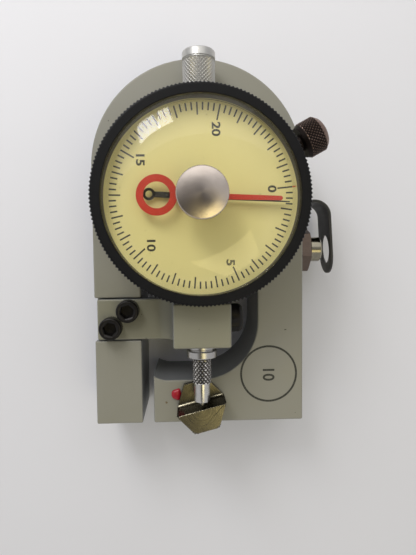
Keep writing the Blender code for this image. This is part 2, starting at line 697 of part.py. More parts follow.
def make_stem(dial_axis):
    """The stem hangs from the case, and ends in two rings with a groove between them."""
    bore = SPINDLE_RADIUS + GAP
    ring_start = ARM_BOTTOM_DROP + GAP
    groove_start = ring_start + STEM_RING_HEIGHT
    end_start = groove_start + STEM_GROOVE
    profile = [
        (STEM_END_RADIUS, STEM_END_DROP),
        (STEM_END_RADIUS, end_start),
        (STEM_RING_RADIUS - STEM_GROOVE, end_start),
        (STEM_RING_RADIUS - STEM_GROOVE, groove_start),
        (STEM_RING_RADIUS, groove_start),
        (STEM_RING_RADIUS, ring_start),
        (STEM_RADIUS, ring_start),
        (STEM_RADIUS, CASE_RADIUS + SEAT),
        (STEM_SEAT_RADIUS, CASE_RADIUS + SEAT),
        (STEM_SEAT_RADIUS, STEM_TOP_DROP),
        (bore, STEM_TOP_DROP),
        (bore, STEM_END_DROP),
    ]
    turned("stem", BRIGHT_STEEL, dial_axis, profile, (0, 0, STEM_HEIGHT), DOWN_Y, ring=True)


def make_spindle(dial_axis):
    """The rack spindle, its notches to the rack pinion's side, and its cross pin."""
    axis = empty("spindle_axis", (0, 0, STEM_HEIGHT), dial_axis)
    neck = -POINT_TOP_DROP + GAP
    profile = [
        (0, SPINDLE_TOP),
        (SPINDLE_RADIUS, SPINDLE_TOP),
        (SPINDLE_RADIUS, neck),
        (SPINDLE_THREAD_RADIUS, neck),
        (SPINDLE_THREAD_RADIUS, neck - SPINDLE_THREAD_LENGTH),
        (0, neck - SPINDLE_THREAD_LENGTH),
    ]
    spindle = turned("spindle", BRIGHT_STEEL, axis, profile, turn=ALONG_Y)
    pitch = math.pi * RACK_MODULE
    deep = RACK_PITCH_LINE - DEDENDUM_SHARE * RACK_MODULE
    far = SPINDLE_RADIUS + OVERRUN
    half_notch = pitch * RACK_NOTCH_SHARE / 2
    middles = [RACK_PINION_AXIS_Y + pitch * (i - RACK_NOTCHES // 2) for i in range(RACK_NOTCHES)]
    corners = [((deep, y - half_notch, -far), (far, y + half_notch, far)) for y in middles]
    notches = boxes("rack_notches", None, axis, corners)
    pin_at = (0, -GUIDE_PIN_DROP, 0)
    pin_start = SPINDLE_RADIUS / 2
    pin_hole = rod(
        "guide_pin_hole", None, axis, GUIDE_PIN_RADIUS + GAP, pin_start - GAP, far, pin_at, ALONG_MINUS_X,
        FINE_SIDES,
    )
    cut(spindle, notches, pin_hole)
    rod(
        "guide_pin", BRIGHT_STEEL, axis, GUIDE_PIN_RADIUS, pin_start, GUIDE_PIN_REACH, pin_at, ALONG_MINUS_X,
        FINE_SIDES,
    )

    sleeve_end = POINT_TOP_DROP + POINT_SLEEVE_LENGTH
    shank_end = sleeve_end + POINT_SHANK_LENGTH
    tip_end = shank_end + POINT_TIP_LENGTH
    ball = tip_end - POINT_TIP_RADIUS
    hole = SPINDLE_THREAD_RADIUS + GAP
    hole_end = -neck + SPINDLE_THREAD_LENGTH + GAP
    tip = [(x, y) for x, y in arc(0, ball, POINT_TIP_RADIUS, 90, 0, SHOULDER_STEPS)]
    profile = tip + [
        (POINT_TIP_RADIUS, shank_end),
        (POINT_SHANK_RADIUS, shank_end),
        (POINT_SHANK_RADIUS, sleeve_end + BRACKET_EDGE),
        (POINT_SLEEVE_RADIUS, sleeve_end),
        (POINT_SLEEVE_RADIUS, POINT_TOP_DROP),
        (hole, POINT_TOP_DROP),
        (hole, hole_end),
        (0, hole_end),
    ]
    profile[0] = (0, tip_end)
    turned("contact_point", BRIGHT_STEEL, axis, profile, turn=DOWN_Y)


def make_dust_cap(dial_axis):
    at = (0, 0, STEM_HEIGHT)
    spindle_bore = SPINDLE_RADIUS + GAP
    profile = [
        (BUSHING_RADIUS, BUSHING_END),
        (BUSHING_RADIUS, BUSHING_START),
        (spindle_bore, BUSHING_START),
        (spindle_bore, BUSHING_END),
    ]
    turned("upper_bushing", BRASS, dial_axis, profile, at, ALONG_Y, ring=True)
    band = DUST_CAP_END - DUST_CAP_BAND
    inner = BUSHING_RADIUS + GAP
    profile = [
        (0, DUST_CAP_END),
        (DUST_CAP_RADIUS - BEZEL_EDGE, DUST_CAP_END),
        (DUST_CAP_RADIUS, DUST_CAP_END - BEZEL_EDGE),
        (DUST_CAP_RADIUS, band),
        (DUST_CAP_RADIUS - DUST_CAP_GROOVE, band - DUST_CAP_GROOVE),
        (DUST_CAP_RADIUS, band - 2 * DUST_CAP_GROOVE),
        (DUST_CAP_RADIUS, DUST_CAP_START),
        (inner, DUST_CAP_START),
        (inner, DUST_CAP_END - DUST_CAP_WALL),
        (0, DUST_CAP_END - DUST_CAP_WALL),
    ]
    turned("dust_cap", BRIGHT_STEEL, dial_axis, profile, at, ALONG_Y)


def make_case(dial_axis):
    """A cup open to the back, whose floor and spigot carry the movement and the bezel."""
    groove_middle = CASE_SHOULDER + SPIGOT_HEIGHT / 2
    groove_bottom = groove_middle - WIRE_GROOVE
    groove_top = groove_middle + WIRE_GROOVE
    profile = [
        (SPIGOT_RADIUS, FLOOR_TOP),
        (SPIGOT_RADIUS, groove_top),
        (SPIGOT_RADIUS - WIRE_GROOVE, groove_top),
        (SPIGOT_RADIUS - WIRE_GROOVE, groove_bottom),
        (SPIGOT_RADIUS, groove_bottom),
        (SPIGOT_RADIUS, CASE_SHOULDER),
        (CASE_RADIUS, CASE_SHOULDER),
        (CASE_RADIUS, CASE_BACK),
        (CASE_BORE, CASE_BACK),
        (CASE_BORE, FLOOR_BOTTOM),
        (DIAL_HOLE, FLOOR_BOTTOM),
        (DIAL_HOLE, FLOOR_TOP),
    ]
    case = turned("case", BLACK_PAINT, dial_axis, profile, ring=True, sides=LARGE_SIDES)
    side = CASE_RADIUS - CASE_WALL - OVERRUN
    clamp_at = (0, 0, BEZEL_CLAMP_HEIGHT)
    clamp_turn = (0, ALONG_X[1], BEZEL_CLAMP_ANGLE)
    lug = rod(
        "bezel_clamp_lug", None, dial_axis, BEZEL_CLAMP_LUG, side + CASE_WALL, BEZEL_SKIRT_RADIUS, clamp_at,
        clamp_turn, FINE_SIDES,
    )
    bosses = [
        rod(
            f"boss_{angle}", None, dial_axis, BACK_SCREW_BOSS, CASE_BACK + SEAT,
            CASE_BACK + BACK_SCREW_LENGTH + GAP, polar(BACK_SCREW_CIRCLE, math.radians(angle)),
            sides=FINE_SIDES,
        )
        for angle in BACK_SCREW_ANGLES
    ]
    join(case, lug, *bosses)
    clamp_hole = rod(
        "bezel_clamp_hole", None, dial_axis, BEZEL_CLAMP_SHANK + GAP, side - OVERRUN,
        BEZEL_SKIRT_RADIUS + OVERRUN, clamp_at, clamp_turn, FINE_SIDES,
    )
    stem_hole = rod(
        "stem_hole", None, dial_axis, STEM_SEAT_RADIUS + GAP, side, CASE_RADIUS + OVERRUN,
        (0, 0, STEM_HEIGHT), DOWN_Y,
    )
    bushing_hole = rod(
        "bushing_hole", None, dial_axis, BUSHING_RADIUS + GAP, side, CASE_RADIUS + OVERRUN,
        (0, 0, STEM_HEIGHT), ALONG_Y,
    )
    cut(case, clamp_hole, stem_hole, bushing_hole)

    cover_top = CASE_LIFT + COVER_THICKNESS
    cover = turned(
        "back_cover", BLACK_PAINT, dial_axis,
        [
            (0, cover_top),
            (CASE_RADIUS, cover_top),
            (CASE_RADIUS, CASE_LIFT + BEZEL_EDGE),
            (CASE_RADIUS - BEZEL_EDGE, CASE_LIFT),
            (0, CASE_LIFT),
        ],
        sides=LARGE_SIDES,
    )
    head_seat = CASE_LIFT + SEAT + BACK_SCREW_HEAD_HEIGHT
    for number, angle in enumerate(BACK_SCREW_ANGLES, start=1):
        at = polar(BACK_SCREW_CIRCLE, math.radians(angle))
        deep = CASE_BACK + BACK_SCREW_LENGTH
        screw_hole = rod(
            f"back_screw_hole_{number}", None, dial_axis, BACK_SCREW_SHANK + GAP, 0, deep + OVERRUN, at,
            sides=FINE_SIDES,
        )
        head_hole = rod(
            f"back_head_hole_{number}", None, dial_axis, BACK_SCREW_HEAD + GAP, 0, head_seat + SEAT, at,
            sides=FINE_SIDES,
        )
        cut(case, screw_hole)
        cut(cover, screw_hole, head_hole)
        profile = [
            (0, deep),
            (BACK_SCREW_SHANK, deep),
            (BACK_SCREW_SHANK, head_seat),
            (BACK_SCREW_HEAD, head_seat),
            (BACK_SCREW_HEAD, CASE_LIFT + SEAT),
            (0, CASE_LIFT + SEAT),
        ]
        turned(f"back_screw_{number}", BLACK_STEEL, dial_axis, profile, at, sides=FINE_SIDES)

    wire_middle = SPIGOT_RADIUS + GAP / 2
    wire = arc(wire_middle, groove_middle, WIRE_RADIUS, 90, -270, WIRE_FACETS)[:-1]
    turned("bezel_wire", BRIGHT_STEEL, dial_axis, wire, ring=True)
    return case


def make_bezel(dial_axis):
    """The bezel turns on the case's spigot and carries the dial, the ring over it and the crystal."""
    groove_middle = CASE_SHOULDER + SPIGOT_HEIGHT / 2
    skirt = SPIGOT_RADIUS + GAP
    rim_bottom = BEZEL_TOP - BEZEL_RIM_HEIGHT
    profile = [
        (BEZEL_RADIUS - BEZEL_EDGE, BEZEL_TOP),
        (BEZEL_RADIUS, BEZEL_TOP - BEZEL_EDGE),
        (BEZEL_RADIUS, rim_bottom),
        (BEZEL_SKIRT_RADIUS, rim_bottom - BEZEL_EDGE),
        (BEZEL_SKIRT_RADIUS, BEZEL_BOTTOM + BEZEL_EDGE),
        (BEZEL_SKIRT_RADIUS - BEZEL_EDGE, BEZEL_BOTTOM),
        (skirt, BEZEL_BOTTOM),
        (skirt, groove_middle - WIRE_GROOVE),
        (skirt + WIRE_GROOVE, groove_middle - WIRE_GROOVE),
        (skirt + WIRE_GROOVE, groove_middle + WIRE_GROOVE),
        (skirt, groove_middle + WIRE_GROOVE),
        (skirt, FLOOR_TOP),
        (BEZEL_BORE, FLOOR_TOP),
        (BEZEL_BORE, BEZEL_TOP),
    ]
    turned("bezel", BLACK_PAINT, dial_axis, profile, ring=True, sides=LARGE_SIDES)
    profile = [
        (DIAL_RADIUS, DIAL_TOP),
        (DIAL_RADIUS, DIAL_BOTTOM),
        (DIAL_HOLE, DIAL_BOTTOM),
        (DIAL_HOLE, DIAL_TOP),
    ]
    turned("dial", DIAL_PAINT, dial_axis, profile, ring=True, sides=LARGE_SIDES)
    profile = [
        (DIAL_RADIUS, RING_TOP + DIAL_RING_CHAMFER),
        (DIAL_RADIUS, RING_BOTTOM),
        (DIAL_RING_BORE, RING_BOTTOM),
        (DIAL_RING_BORE, RING_TOP),
    ]
    turned("dial_ring", BLACK_PAINT, dial_axis, profile, ring=True, sides=LARGE_SIDES)

    inner = CRYSTAL_RADIUS - CRYSTAL_WALL
    corner = CRYSTAL_RADIUS - CRYSTAL_SHOULDER
    hole = KNOB_ARBOR_RADIUS + GAP
    shoulder_top = CRYSTAL_SHOULDER_Z + CRYSTAL_SHOULDER
    radii = [hole + (corner - hole) * i / DOME_STEPS for i in range(DOME_STEPS)]
    rise = [CRYSTAL_RISE * (1 - (radius / corner) ** 2) for radius in radii]
    dome = [(radius, shoulder_top + height) for radius, height in zip(radii, rise)]
    shoulder = arc(corner, CRYSTAL_SHOULDER_Z, CRYSTAL_SHOULDER, 90, 0, SHOULDER_STEPS)
    fillet = CRYSTAL_SHOULDER - CRYSTAL_WALL
    under = [(radius, height - CRYSTAL_WALL) for radius, height in reversed(dome)]
    profile = dome + shoulder + [
        (CRYSTAL_RADIUS, CRYSTAL_BOTTOM + DIAL_RING_CHAMFER),
        (DIAL_RING_BORE, CRYSTAL_BOTTOM),
        (inner, CRYSTAL_BOTTOM),
        (inner, CRYSTAL_SHOULDER_Z),
        (corner, CRYSTAL_SHOULDER_Z + fillet),
    ]
    turned("crystal", CLEAR, dial_axis, profile + under, ring=True, sides=LARGE_SIDES)


def make_max_hand(dial_axis):
    """The knob on the crystal turns the red hand under it."""
    knob_top = KNOB_BOTTOM + KNOB_HEIGHT
    hub_bottom = MAX_HAND_HEIGHT - MAX_HAND_HUB_HEIGHT / 2
    arbor_top = KNOB_BOTTOM + KNOB_HEIGHT / 2
    hole = KNOB_ARBOR_RADIUS + GAP
    profile = [
        (0, knob_top),
        (KNOB_RADIUS - KNOB_EDGE, knob_top),
        (KNOB_RADIUS, knob_top - KNOB_EDGE),
        (KNOB_RADIUS, KNOB_BOTTOM + KNOB_EDGE),
        (KNOB_RADIUS - KNOB_EDGE, KNOB_BOTTOM),
        (hole, KNOB_BOTTOM),
        (hole, arbor_top + SEAT),
        (0, arbor_top + SEAT),
    ]
    turned("knob", BRIGHT_STEEL, dial_axis, profile)
    rod("knob_arbor", BRIGHT_STEEL, dial_axis, KNOB_ARBOR_RADIUS, hub_bottom, arbor_top, sides=FINE_SIDES)
    make_hand(
        "max_hand", RED, dial_axis, MAX_HAND_ANGLE, MAX_HAND_HEIGHT, MAX_HAND_THICKNESS, hole,
        MAX_HAND_HUB, MAX_HAND_HUB_HEIGHT, MAX_HAND_REACH, MAX_HAND_ROOT, MAX_HAND_END,
        MAX_HAND_RING, MAX_HAND_RING_BORE, MAX_HAND_RING_REACH, MAX_HAND_ROOT,
    )


def make_hand(
    name, finish, dial_axis, angle, height, thickness, hole, hub, hub_height, reach, root, end, ring,
    ring_bore, ring_reach, tail,
):
    """A hand: pointer to its own +X, hub, and a tail bar with a ring."""
    low = height - thickness / 2
    high = height + thickness / 2
    turn = (0, 0, angle)
    blade = [(0, -root / 2), (0, root / 2)]
    blade += arc(reach - end / 2, 0, end / 2, 90, -90, SHOULDER_STEPS)
    hand = plate(name, finish, dial_axis, [blade], low, high, turn=turn)
    bar_end = (ring + ring_bore) / 2 - ring_reach
    bar = [(0, -tail / 2), (0, tail / 2), (bar_end, tail / 2), (bar_end, -tail / 2)]
    tail_bar = plate(name + "_tail", None, dial_axis, [bar], low, high, turn=turn)
    loop = plate(
        name + "_ring", None, dial_axis, [circle(-ring_reach, 0, ring)], low, high, turn=turn
    )
    boss = rod(name + "_hub", None, dial_axis, hub, height - hub_height / 2, height + hub_height / 2)
    far = hub_height
    ring_at = polar(ring_reach, angle + math.pi)
    ring_hole = rod(name + "_ring_hole", None, dial_axis, ring_bore, low - far, high + far, ring_at)
    arbor_hole = rod(name + "_arbor_hole", None, dial_axis, hole, low - far, high + far, sides=FINE_SIDES)
    join(hand, tail_bar, loop, boss)
    cut(hand, ring_hole, arbor_hole)


def make_bezel_clamp(dial_axis):
    neck_start = BEZEL_SKIRT_RADIUS + GAP
    dome_start = BEZEL_CLAMP_HEAD_START + BEZEL_CLAMP_HEAD_LENGTH
    dome_end = dome_start + BEZEL_CLAMP_DOME
    angles = [math.radians(90 - 90 * i / SHOULDER_STEPS) for i in range(SHOULDER_STEPS + 1)]
    head = [(BEZEL_CLAMP_HEAD * math.cos(a), dome_start + BEZEL_CLAMP_DOME * math.sin(a)) for a in angles]
    head[0] = (0, dome_end)
    profile = head + [
        (BEZEL_CLAMP_HEAD, BEZEL_CLAMP_HEAD_START + BEZEL_CLAMP_CHAMFER_LENGTH),
        (BEZEL_CLAMP_HEAD - BEZEL_CLAMP_CHAMFER, BEZEL_CLAMP_HEAD_START),
        (BEZEL_CLAMP_NECK, BEZEL_CLAMP_HEAD_START),
        (BEZEL_CLAMP_NECK, neck_start),
        (BEZEL_CLAMP_SHANK, neck_start),
        (BEZEL_CLAMP_SHANK, BEZEL_CLAMP_START),
        (0, BEZEL_CLAMP_START),
    ]
    at = (0, 0, BEZEL_CLAMP_HEIGHT)
    turned("bezel_clamp", BRONZE, dial_axis, profile, at, (0, ALONG_X[1], BEZEL_CLAMP_ANGLE))


def wheel_axes():
    """Axes of the rack pinion, the middle wheel and the take-up wheel, from their distances."""
    rack = Vector((RACK_PINION_AXIS_X, RACK_PINION_AXIS_Y, 0))
    span = rack.length
    share = (CENTRE_DISTANCE**2 + span**2 - MIDDLE_DISTANCE**2) / (2 * CENTRE_DISTANCE * span)
    angle = math.atan2(rack.y, rack.x) + math.acos(share)
    return tuple(rack), polar(CENTRE_DISTANCE, angle), polar(TAKEUP_DISTANCE, TAKEUP_ANGLE)


def direction(start, end):
    return math.atan2(end[1] - start[1], end[0] - start[0])


def gear(name, dial_axis, at, teeth, module, phase, level):
    top = level + GEAR_THICKNESS
    holes = [circle(0, 0, ARBOR_RADIUS + GAP, FINE_SIDES)]
    outlines = [gear_outline(teeth, module, phase)] + holes
    return plate(name, BRASS, dial_axis, outlines, level, top, at)


def pinion(name, dial_axis, at, teeth, module, phase, low, high, arbor_low, arbor_high):
    """A toothed pinion in one piece with its arbor, whose thin pivots stand in the plates."""
    made = plate(name, BRIGHT_STEEL, dial_axis, [gear_outline(teeth, module, phase)], low, high, at)
    join(made, arbor(name + "_arbor", None, dial_axis, at, arbor_low, arbor_high))
    return made


def arbor(name, finish, dial_axis, at, low, high):
    """A plain arbor between two plates, with a thinner pivot through each."""
    profile = [
        (0, high + PLATE_THICKNESS),
        (PIVOT_RADIUS, high + PLATE_THICKNESS),
        (PIVOT_RADIUS, high),
        (ARBOR_RADIUS, high),
        (ARBOR_RADIUS, low),
        (PIVOT_RADIUS, low),
        (PIVOT_RADIUS, low - PLATE_THICKNESS),
        (0, low - PLATE_THICKNESS),
    ]
    return turned(name, finish, dial_axis, profile, at, sides=FINE_SIDES)


def make_gears(dial_axis):
    """Every pair is in mesh at rest: a tooth of one points at a space of the other."""
    rack, middle, takeup = wheel_axes()
    centre = (0, 0, 0)
    low = LOWER_PLATE_TOP + SEAT
    high = UPPER_PLATE_BOTTOM - SEAT
    rack_half = SPINDLE_RADIUS
    pinion(
        "rack_pinion", dial_axis, rack, RACK_PINION_TEETH, RACK_MODULE, math.pi, STEM_HEIGHT - rack_half,
        STEM_HEIGHT + rack_half, low, high,
    )
    to_middle = direction(rack, middle)
    gear(
        "rack_gear", dial_axis, rack, RACK_GEAR_TEETH, RACK_GEAR_MODULE,
        to_middle + math.pi / RACK_GEAR_TEETH, FIRST_LEVEL,
    )
    pinion(
        "middle_pinion", dial_axis, middle, PINION_TEETH, RACK_GEAR_MODULE, to_middle + math.pi,
        FIRST_LEVEL, FIRST_LEVEL + GEAR_THICKNESS, low, high,
    )
    to_centre = direction(middle, centre)
    gear(
        "middle_gear", dial_axis, middle, MIDDLE_GEAR_TEETH, CENTRE_MODULE,
        to_centre + math.pi / MIDDLE_GEAR_TEETH, SECOND_LEVEL,
    )
    centre_phase = to_centre + math.pi
    centre_pinion = plate(
        "centre_pinion", BRIGHT_STEEL, dial_axis, [gear_outline(PINION_TEETH, CENTRE_MODULE, centre_phase)],
        FIRST_LEVEL, SECOND_LEVEL + GEAR_THICKNESS,
    )
    profile = [
        (0, HAND_HEIGHT),
        (ARBOR_RADIUS, HAND_HEIGHT),
        (ARBOR_RADIUS, BRIDGE_TOP + SEAT),
        (PIVOT_RADIUS, BRIDGE_TOP + SEAT),
        (PIVOT_RADIUS, BRIDGE_BOTTOM),
        (0, BRIDGE_BOTTOM),
    ]
    join(centre_pinion, turned("centre_arbor", None, dial_axis, profile, sides=FINE_SIDES))

    pitch = math.tau / PINION_TEETH
    to_takeup = direction(centre, takeup)
    tooth_offset = (to_takeup - centre_phase) / pitch
    tooth_offset -= math.floor(tooth_offset)
    takeup_phase = to_takeup + math.pi + (tooth_offset + 1 / 2) * math.tau / TAKEUP_GEAR_TEETH
    gear(
        "takeup_gear", dial_axis, takeup, TAKEUP_GEAR_TEETH, CENTRE_MODULE, takeup_phase, FIRST_LEVEL
    )
    arbor("takeup_arbor", BRIGHT_STEEL, dial_axis, takeup, low, high)

    spring_level = (FIRST_LEVEL + GEAR_THICKNESS + UPPER_PLATE_BOTTOM) / 2
    count = HAIRSPRING_TURNS * COIL_STEPS
    points = []
    for i in range(count + 1):
        radius = HAIRSPRING_INNER + (HAIRSPRING_OUTER - HAIRSPRING_INNER) * i / count
        x, y, _ = polar(radius, math.tau * i / COIL_STEPS)
        points.append((takeup[0] + x, takeup[1] + y, spring_level))
    tube("hairspring", BRIGHT_STEEL, dial_axis, points, HAIRSPRING_WIRE)
    stud_x = HAIRSPRING_OUTER + HAIRSPRING_WIRE + GAP + HAIRSPRING_STUD
    rod(
        "hairspring_stud", BRASS, dial_axis, HAIRSPRING_STUD, spring_level - GAP, UPPER_PLATE_BOTTOM - SEAT,
        (takeup[0] + stud_x, takeup[1], 0), sides=FINE_SIDES,
    )


def make_plates(dial_axis):
    """Two round plates, the pillars between them, and the bridge over the spindle."""
    pivots = [circle(x, y, PIVOT_RADIUS + GAP, FINE_SIDES) for x, y, _ in wheel_axes()]
    places = [polar(PILLAR_CIRCLE, math.radians(angle)) for angle in PILLAR_ANGLES]
    outer = circle(0, 0, PLATE_RADIUS, LARGE_SIDES)
    tenon_holes = [circle(x, y, TENON_RADIUS + GAP, FINE_SIDES) for x, y, _ in places]
    plate(
        "lower_plate", BRASS, dial_axis, [outer, *pivots, *tenon_holes], LOWER_PLATE_BOTTOM, LOWER_PLATE_TOP
    )
    screw_holes = [circle(x, y, PLATE_SCREW_SHANK + GAP, FINE_SIDES) for x, y, _ in places]
    centre = circle(0, 0, ARBOR_RADIUS + GAP, FINE_SIDES)
    plate(
        "upper_plate", BRASS, dial_axis, [outer, centre, *pivots, *screw_holes], UPPER_PLATE_BOTTOM,
        UPPER_PLATE_TOP,
    )
    case = bpy.data.objects["case"]
    head_seat = FLOOR_TOP - SEAT - PLATE_SCREW_HEAD_HEIGHT
    screw_end = UPPER_PLATE_TOP - PLATE_SCREW_LENGTH
    for number, at in enumerate(places, start=1):
        top = UPPER_PLATE_BOTTOM - SEAT
        hole = PLATE_SCREW_SHANK + GAP
        profile = [
            (0, screw_end - GAP),
            (hole, screw_end - GAP),
            (hole, top),
            (PILLAR_RADIUS, top),
            (PILLAR_RADIUS, LOWER_PLATE_TOP + SEAT),
            (TENON_RADIUS, LOWER_PLATE_TOP + SEAT),
            (TENON_RADIUS, LOWER_PLATE_BOTTOM),
            (0, LOWER_PLATE_BOTTOM),
        ]
        turned(f"pillar_{number}", BRASS, dial_axis, profile, at, sides=FINE_SIDES)
        profile = [
            (0, FLOOR_TOP - SEAT),
            (PLATE_SCREW_HEAD, FLOOR_TOP - SEAT),
            (PLATE_SCREW_HEAD, head_seat),
            (PLATE_SCREW_SHANK, head_seat),
            (PLATE_SCREW_SHANK, screw_end),
            (0, screw_end),
        ]
        turned(f"plate_screw_{number}", BLACK_STEEL, dial_axis, profile, at, sides=FINE_SIDES)
        head_hole = rod(
            f"plate_head_hole_{number}", None, dial_axis, PLATE_SCREW_HEAD + GAP, head_seat - SEAT,
            FLOOR_TOP + OVERRUN, at, sides=FINE_SIDES,
        )
        shank_hole = rod(
            f"plate_screw_hole_{number}", None, dial_axis, hole, FLOOR_BOTTOM - OVERRUN, FLOOR_TOP, at,
            sides=FINE_SIDES,
        )
        cut(case, head_hole, shank_hole)

    half = BRIDGE_WIDTH / 2
    foot = LOWER_PLATE_TOP + SEAT
    bridge = boxes(
        "centre_bridge", BRASS, dial_axis,
        [((-BRIDGE_REACH, -half, BRIDGE_BOTTOM), (BRIDGE_REACH, half, BRIDGE_TOP))],
    )
    for side in (-1, 1):
        inner = side * (BRIDGE_REACH - BRIDGE_LEG)
        outer_x = side * BRIDGE_REACH
        low = (min(inner, outer_x), -half, foot)
        leg = boxes(f"bridge_leg_{side}", None, dial_axis, [(low, (max(inner, outer_x), half, BRIDGE_TOP))])
        join(bridge, leg)
    pivot_hole = rod(
        "bridge_hole", None, dial_axis, PIVOT_RADIUS + GAP, BRIDGE_BOTTOM - OVERRUN, BRIDGE_TOP + OVERRUN,
        sides=FINE_SIDES,
    )
    cut(bridge, pivot_hole)


def make_rack_guide(dial_axis):
    """The slotted rail that keeps the cross pin from turning, and the spring that pulls the pin down."""
    foot = LOWER_PLATE_TOP + SEAT
    top = STEM_HEIGHT + 2 * GUIDE_PIN_RADIUS
    y_low = -GUIDE_PIN_DROP - GUIDE_RAIL_LENGTH / 2
    y_high = -GUIDE_PIN_DROP + GUIDE_RAIL_LENGTH / 2
    start = -GUIDE_RAIL_START
    end = start - GUIDE_RAIL_WIDTH
    rail = boxes("guide_rail", BRASS, dial_axis, [((end, y_low, foot), (start, y_high, top))])
    slot_half = GUIDE_PIN_RADIUS + GAP
    slot = boxes(
        "guide_slot", None, dial_axis,
        [
            (
                (-GUIDE_PIN_REACH - GAP, y_low - OVERRUN, STEM_HEIGHT - slot_half),
                (start + OVERRUN, y_high + OVERRUN, STEM_HEIGHT + slot_half),
            )
        ],
    )
    cut(rail, slot)
    post_at = (RETURN_SPRING_X, -SPRING_POST_DROP, 0)
    rod(
        "spring_post", BRIGHT_STEEL, dial_axis, SPRING_POST_RADIUS, foot, STEM_HEIGHT + RETURN_SPRING_RADIUS,
        post_at, sides=FINE_SIDES,
    )
    clear = RETURN_SPRING_WIRE + GAP
    low = -SPRING_POST_DROP + SPRING_POST_RADIUS + clear
    high = -GUIDE_PIN_DROP - GUIDE_PIN_RADIUS - clear
    count = RETURN_SPRING_TURNS * COIL_STEPS
    points = []
    for i in range(count + 1):
        x, z, _ = polar(RETURN_SPRING_RADIUS, math.tau * i / COIL_STEPS)
        points.append((RETURN_SPRING_X + x, low + (high - low) * i / count, STEM_HEIGHT + z))
    tube("return_spring", BRIGHT_STEEL, dial_axis, points, RETURN_SPRING_WIRE)


def make_anvil(dial_axis):
    """The hexagonal anvil turns in the foot, and a screw from the back holds it."""
    axis = empty("anvil_axis", (ANVIL_X, -ANVIL_DROP, 0), dial_axis)
    anvil = plate("anvil", NICKEL, axis, [hexagon(ANVIL_ACROSS, ANVIL_TURN)], SEAT, ANVIL_HEIGHT)
    ease_edges(anvil, ANVIL_EDGE)
    far = ANVIL_ACROSS / math.sqrt(3) + OVERRUN
    land = [
        (0, ANVIL_HEIGHT + OVERRUN),
        (ANVIL_LAND_RADIUS - OVERRUN, ANVIL_HEIGHT + OVERRUN),
        (far, ANVIL_HEIGHT - (far - ANVIL_LAND_RADIUS)),
        (far, -OVERRUN),
        (0, -OVERRUN),
    ]
    keep_inside(anvil, turned("anvil_land", None, axis, land))
    wall = boxes(
        "anvil_wall", None, axis,
        [((-ANVIL_ACROSS, 0, ANVIL_FLANGE), (ANVIL_ACROSS, ANVIL_ACROSS, ANVIL_HEIGHT + OVERRUN))],
        turn=(0, 0, ANVIL_TURN),
    )
    cut(anvil, wall)
    join(
        anvil,
        rod("anvil_shank", None, axis, ANVIL_SHANK, -ANVIL_SHANK_LENGTH, ANVIL_FLANGE / 2),
    )
    recess_top = ANVIL_SCREW_RECESS - BEAM_THICKNESS
    head_bottom = recess_top - SEAT - ANVIL_SCREW_HEAD_HEIGHT
    screw_top = -ANVIL_SHANK_LENGTH / 2
    thread_hole = rod(
        "anvil_thread_hole", None, axis, ANVIL_SCREW_SHANK + GAP, -ANVIL_SHANK_LENGTH - OVERRUN,
        screw_top + GAP, sides=FINE_SIDES,
    )
    cut(anvil, thread_hole)
    profile = [
        (0, screw_top),
        (ANVIL_SCREW_SHANK, screw_top),
        (ANVIL_SCREW_SHANK, head_bottom + ANVIL_SCREW_HEAD_HEIGHT),
        (ANVIL_SCREW_HEAD, head_bottom + ANVIL_SCREW_HEAD_HEIGHT),
        (ANVIL_SCREW_HEAD, head_bottom),
        (0, head_bottom),
    ]
    turned("anvil_screw", BLACK_STEEL, axis, profile)
    angles = [math.radians(90 - 90 * i / SHOULDER_STEPS) for i in range(SHOULDER_STEPS + 1)]
    dome = [(SEAL_RADIUS * math.cos(a), SEAT + SEAL_HEIGHT * math.sin(a)) for a in angles]
    dome[0] = (0, SEAT + SEAL_HEIGHT)
    seal_at = polar(ANVIL_ACROSS / 2 + SEAT + SEAL_RADIUS, SEAL_ANGLE)
    turned("anvil_seal", RED, axis, dome + [(0, SEAT)], seal_at, sides=FINE_SIDES)


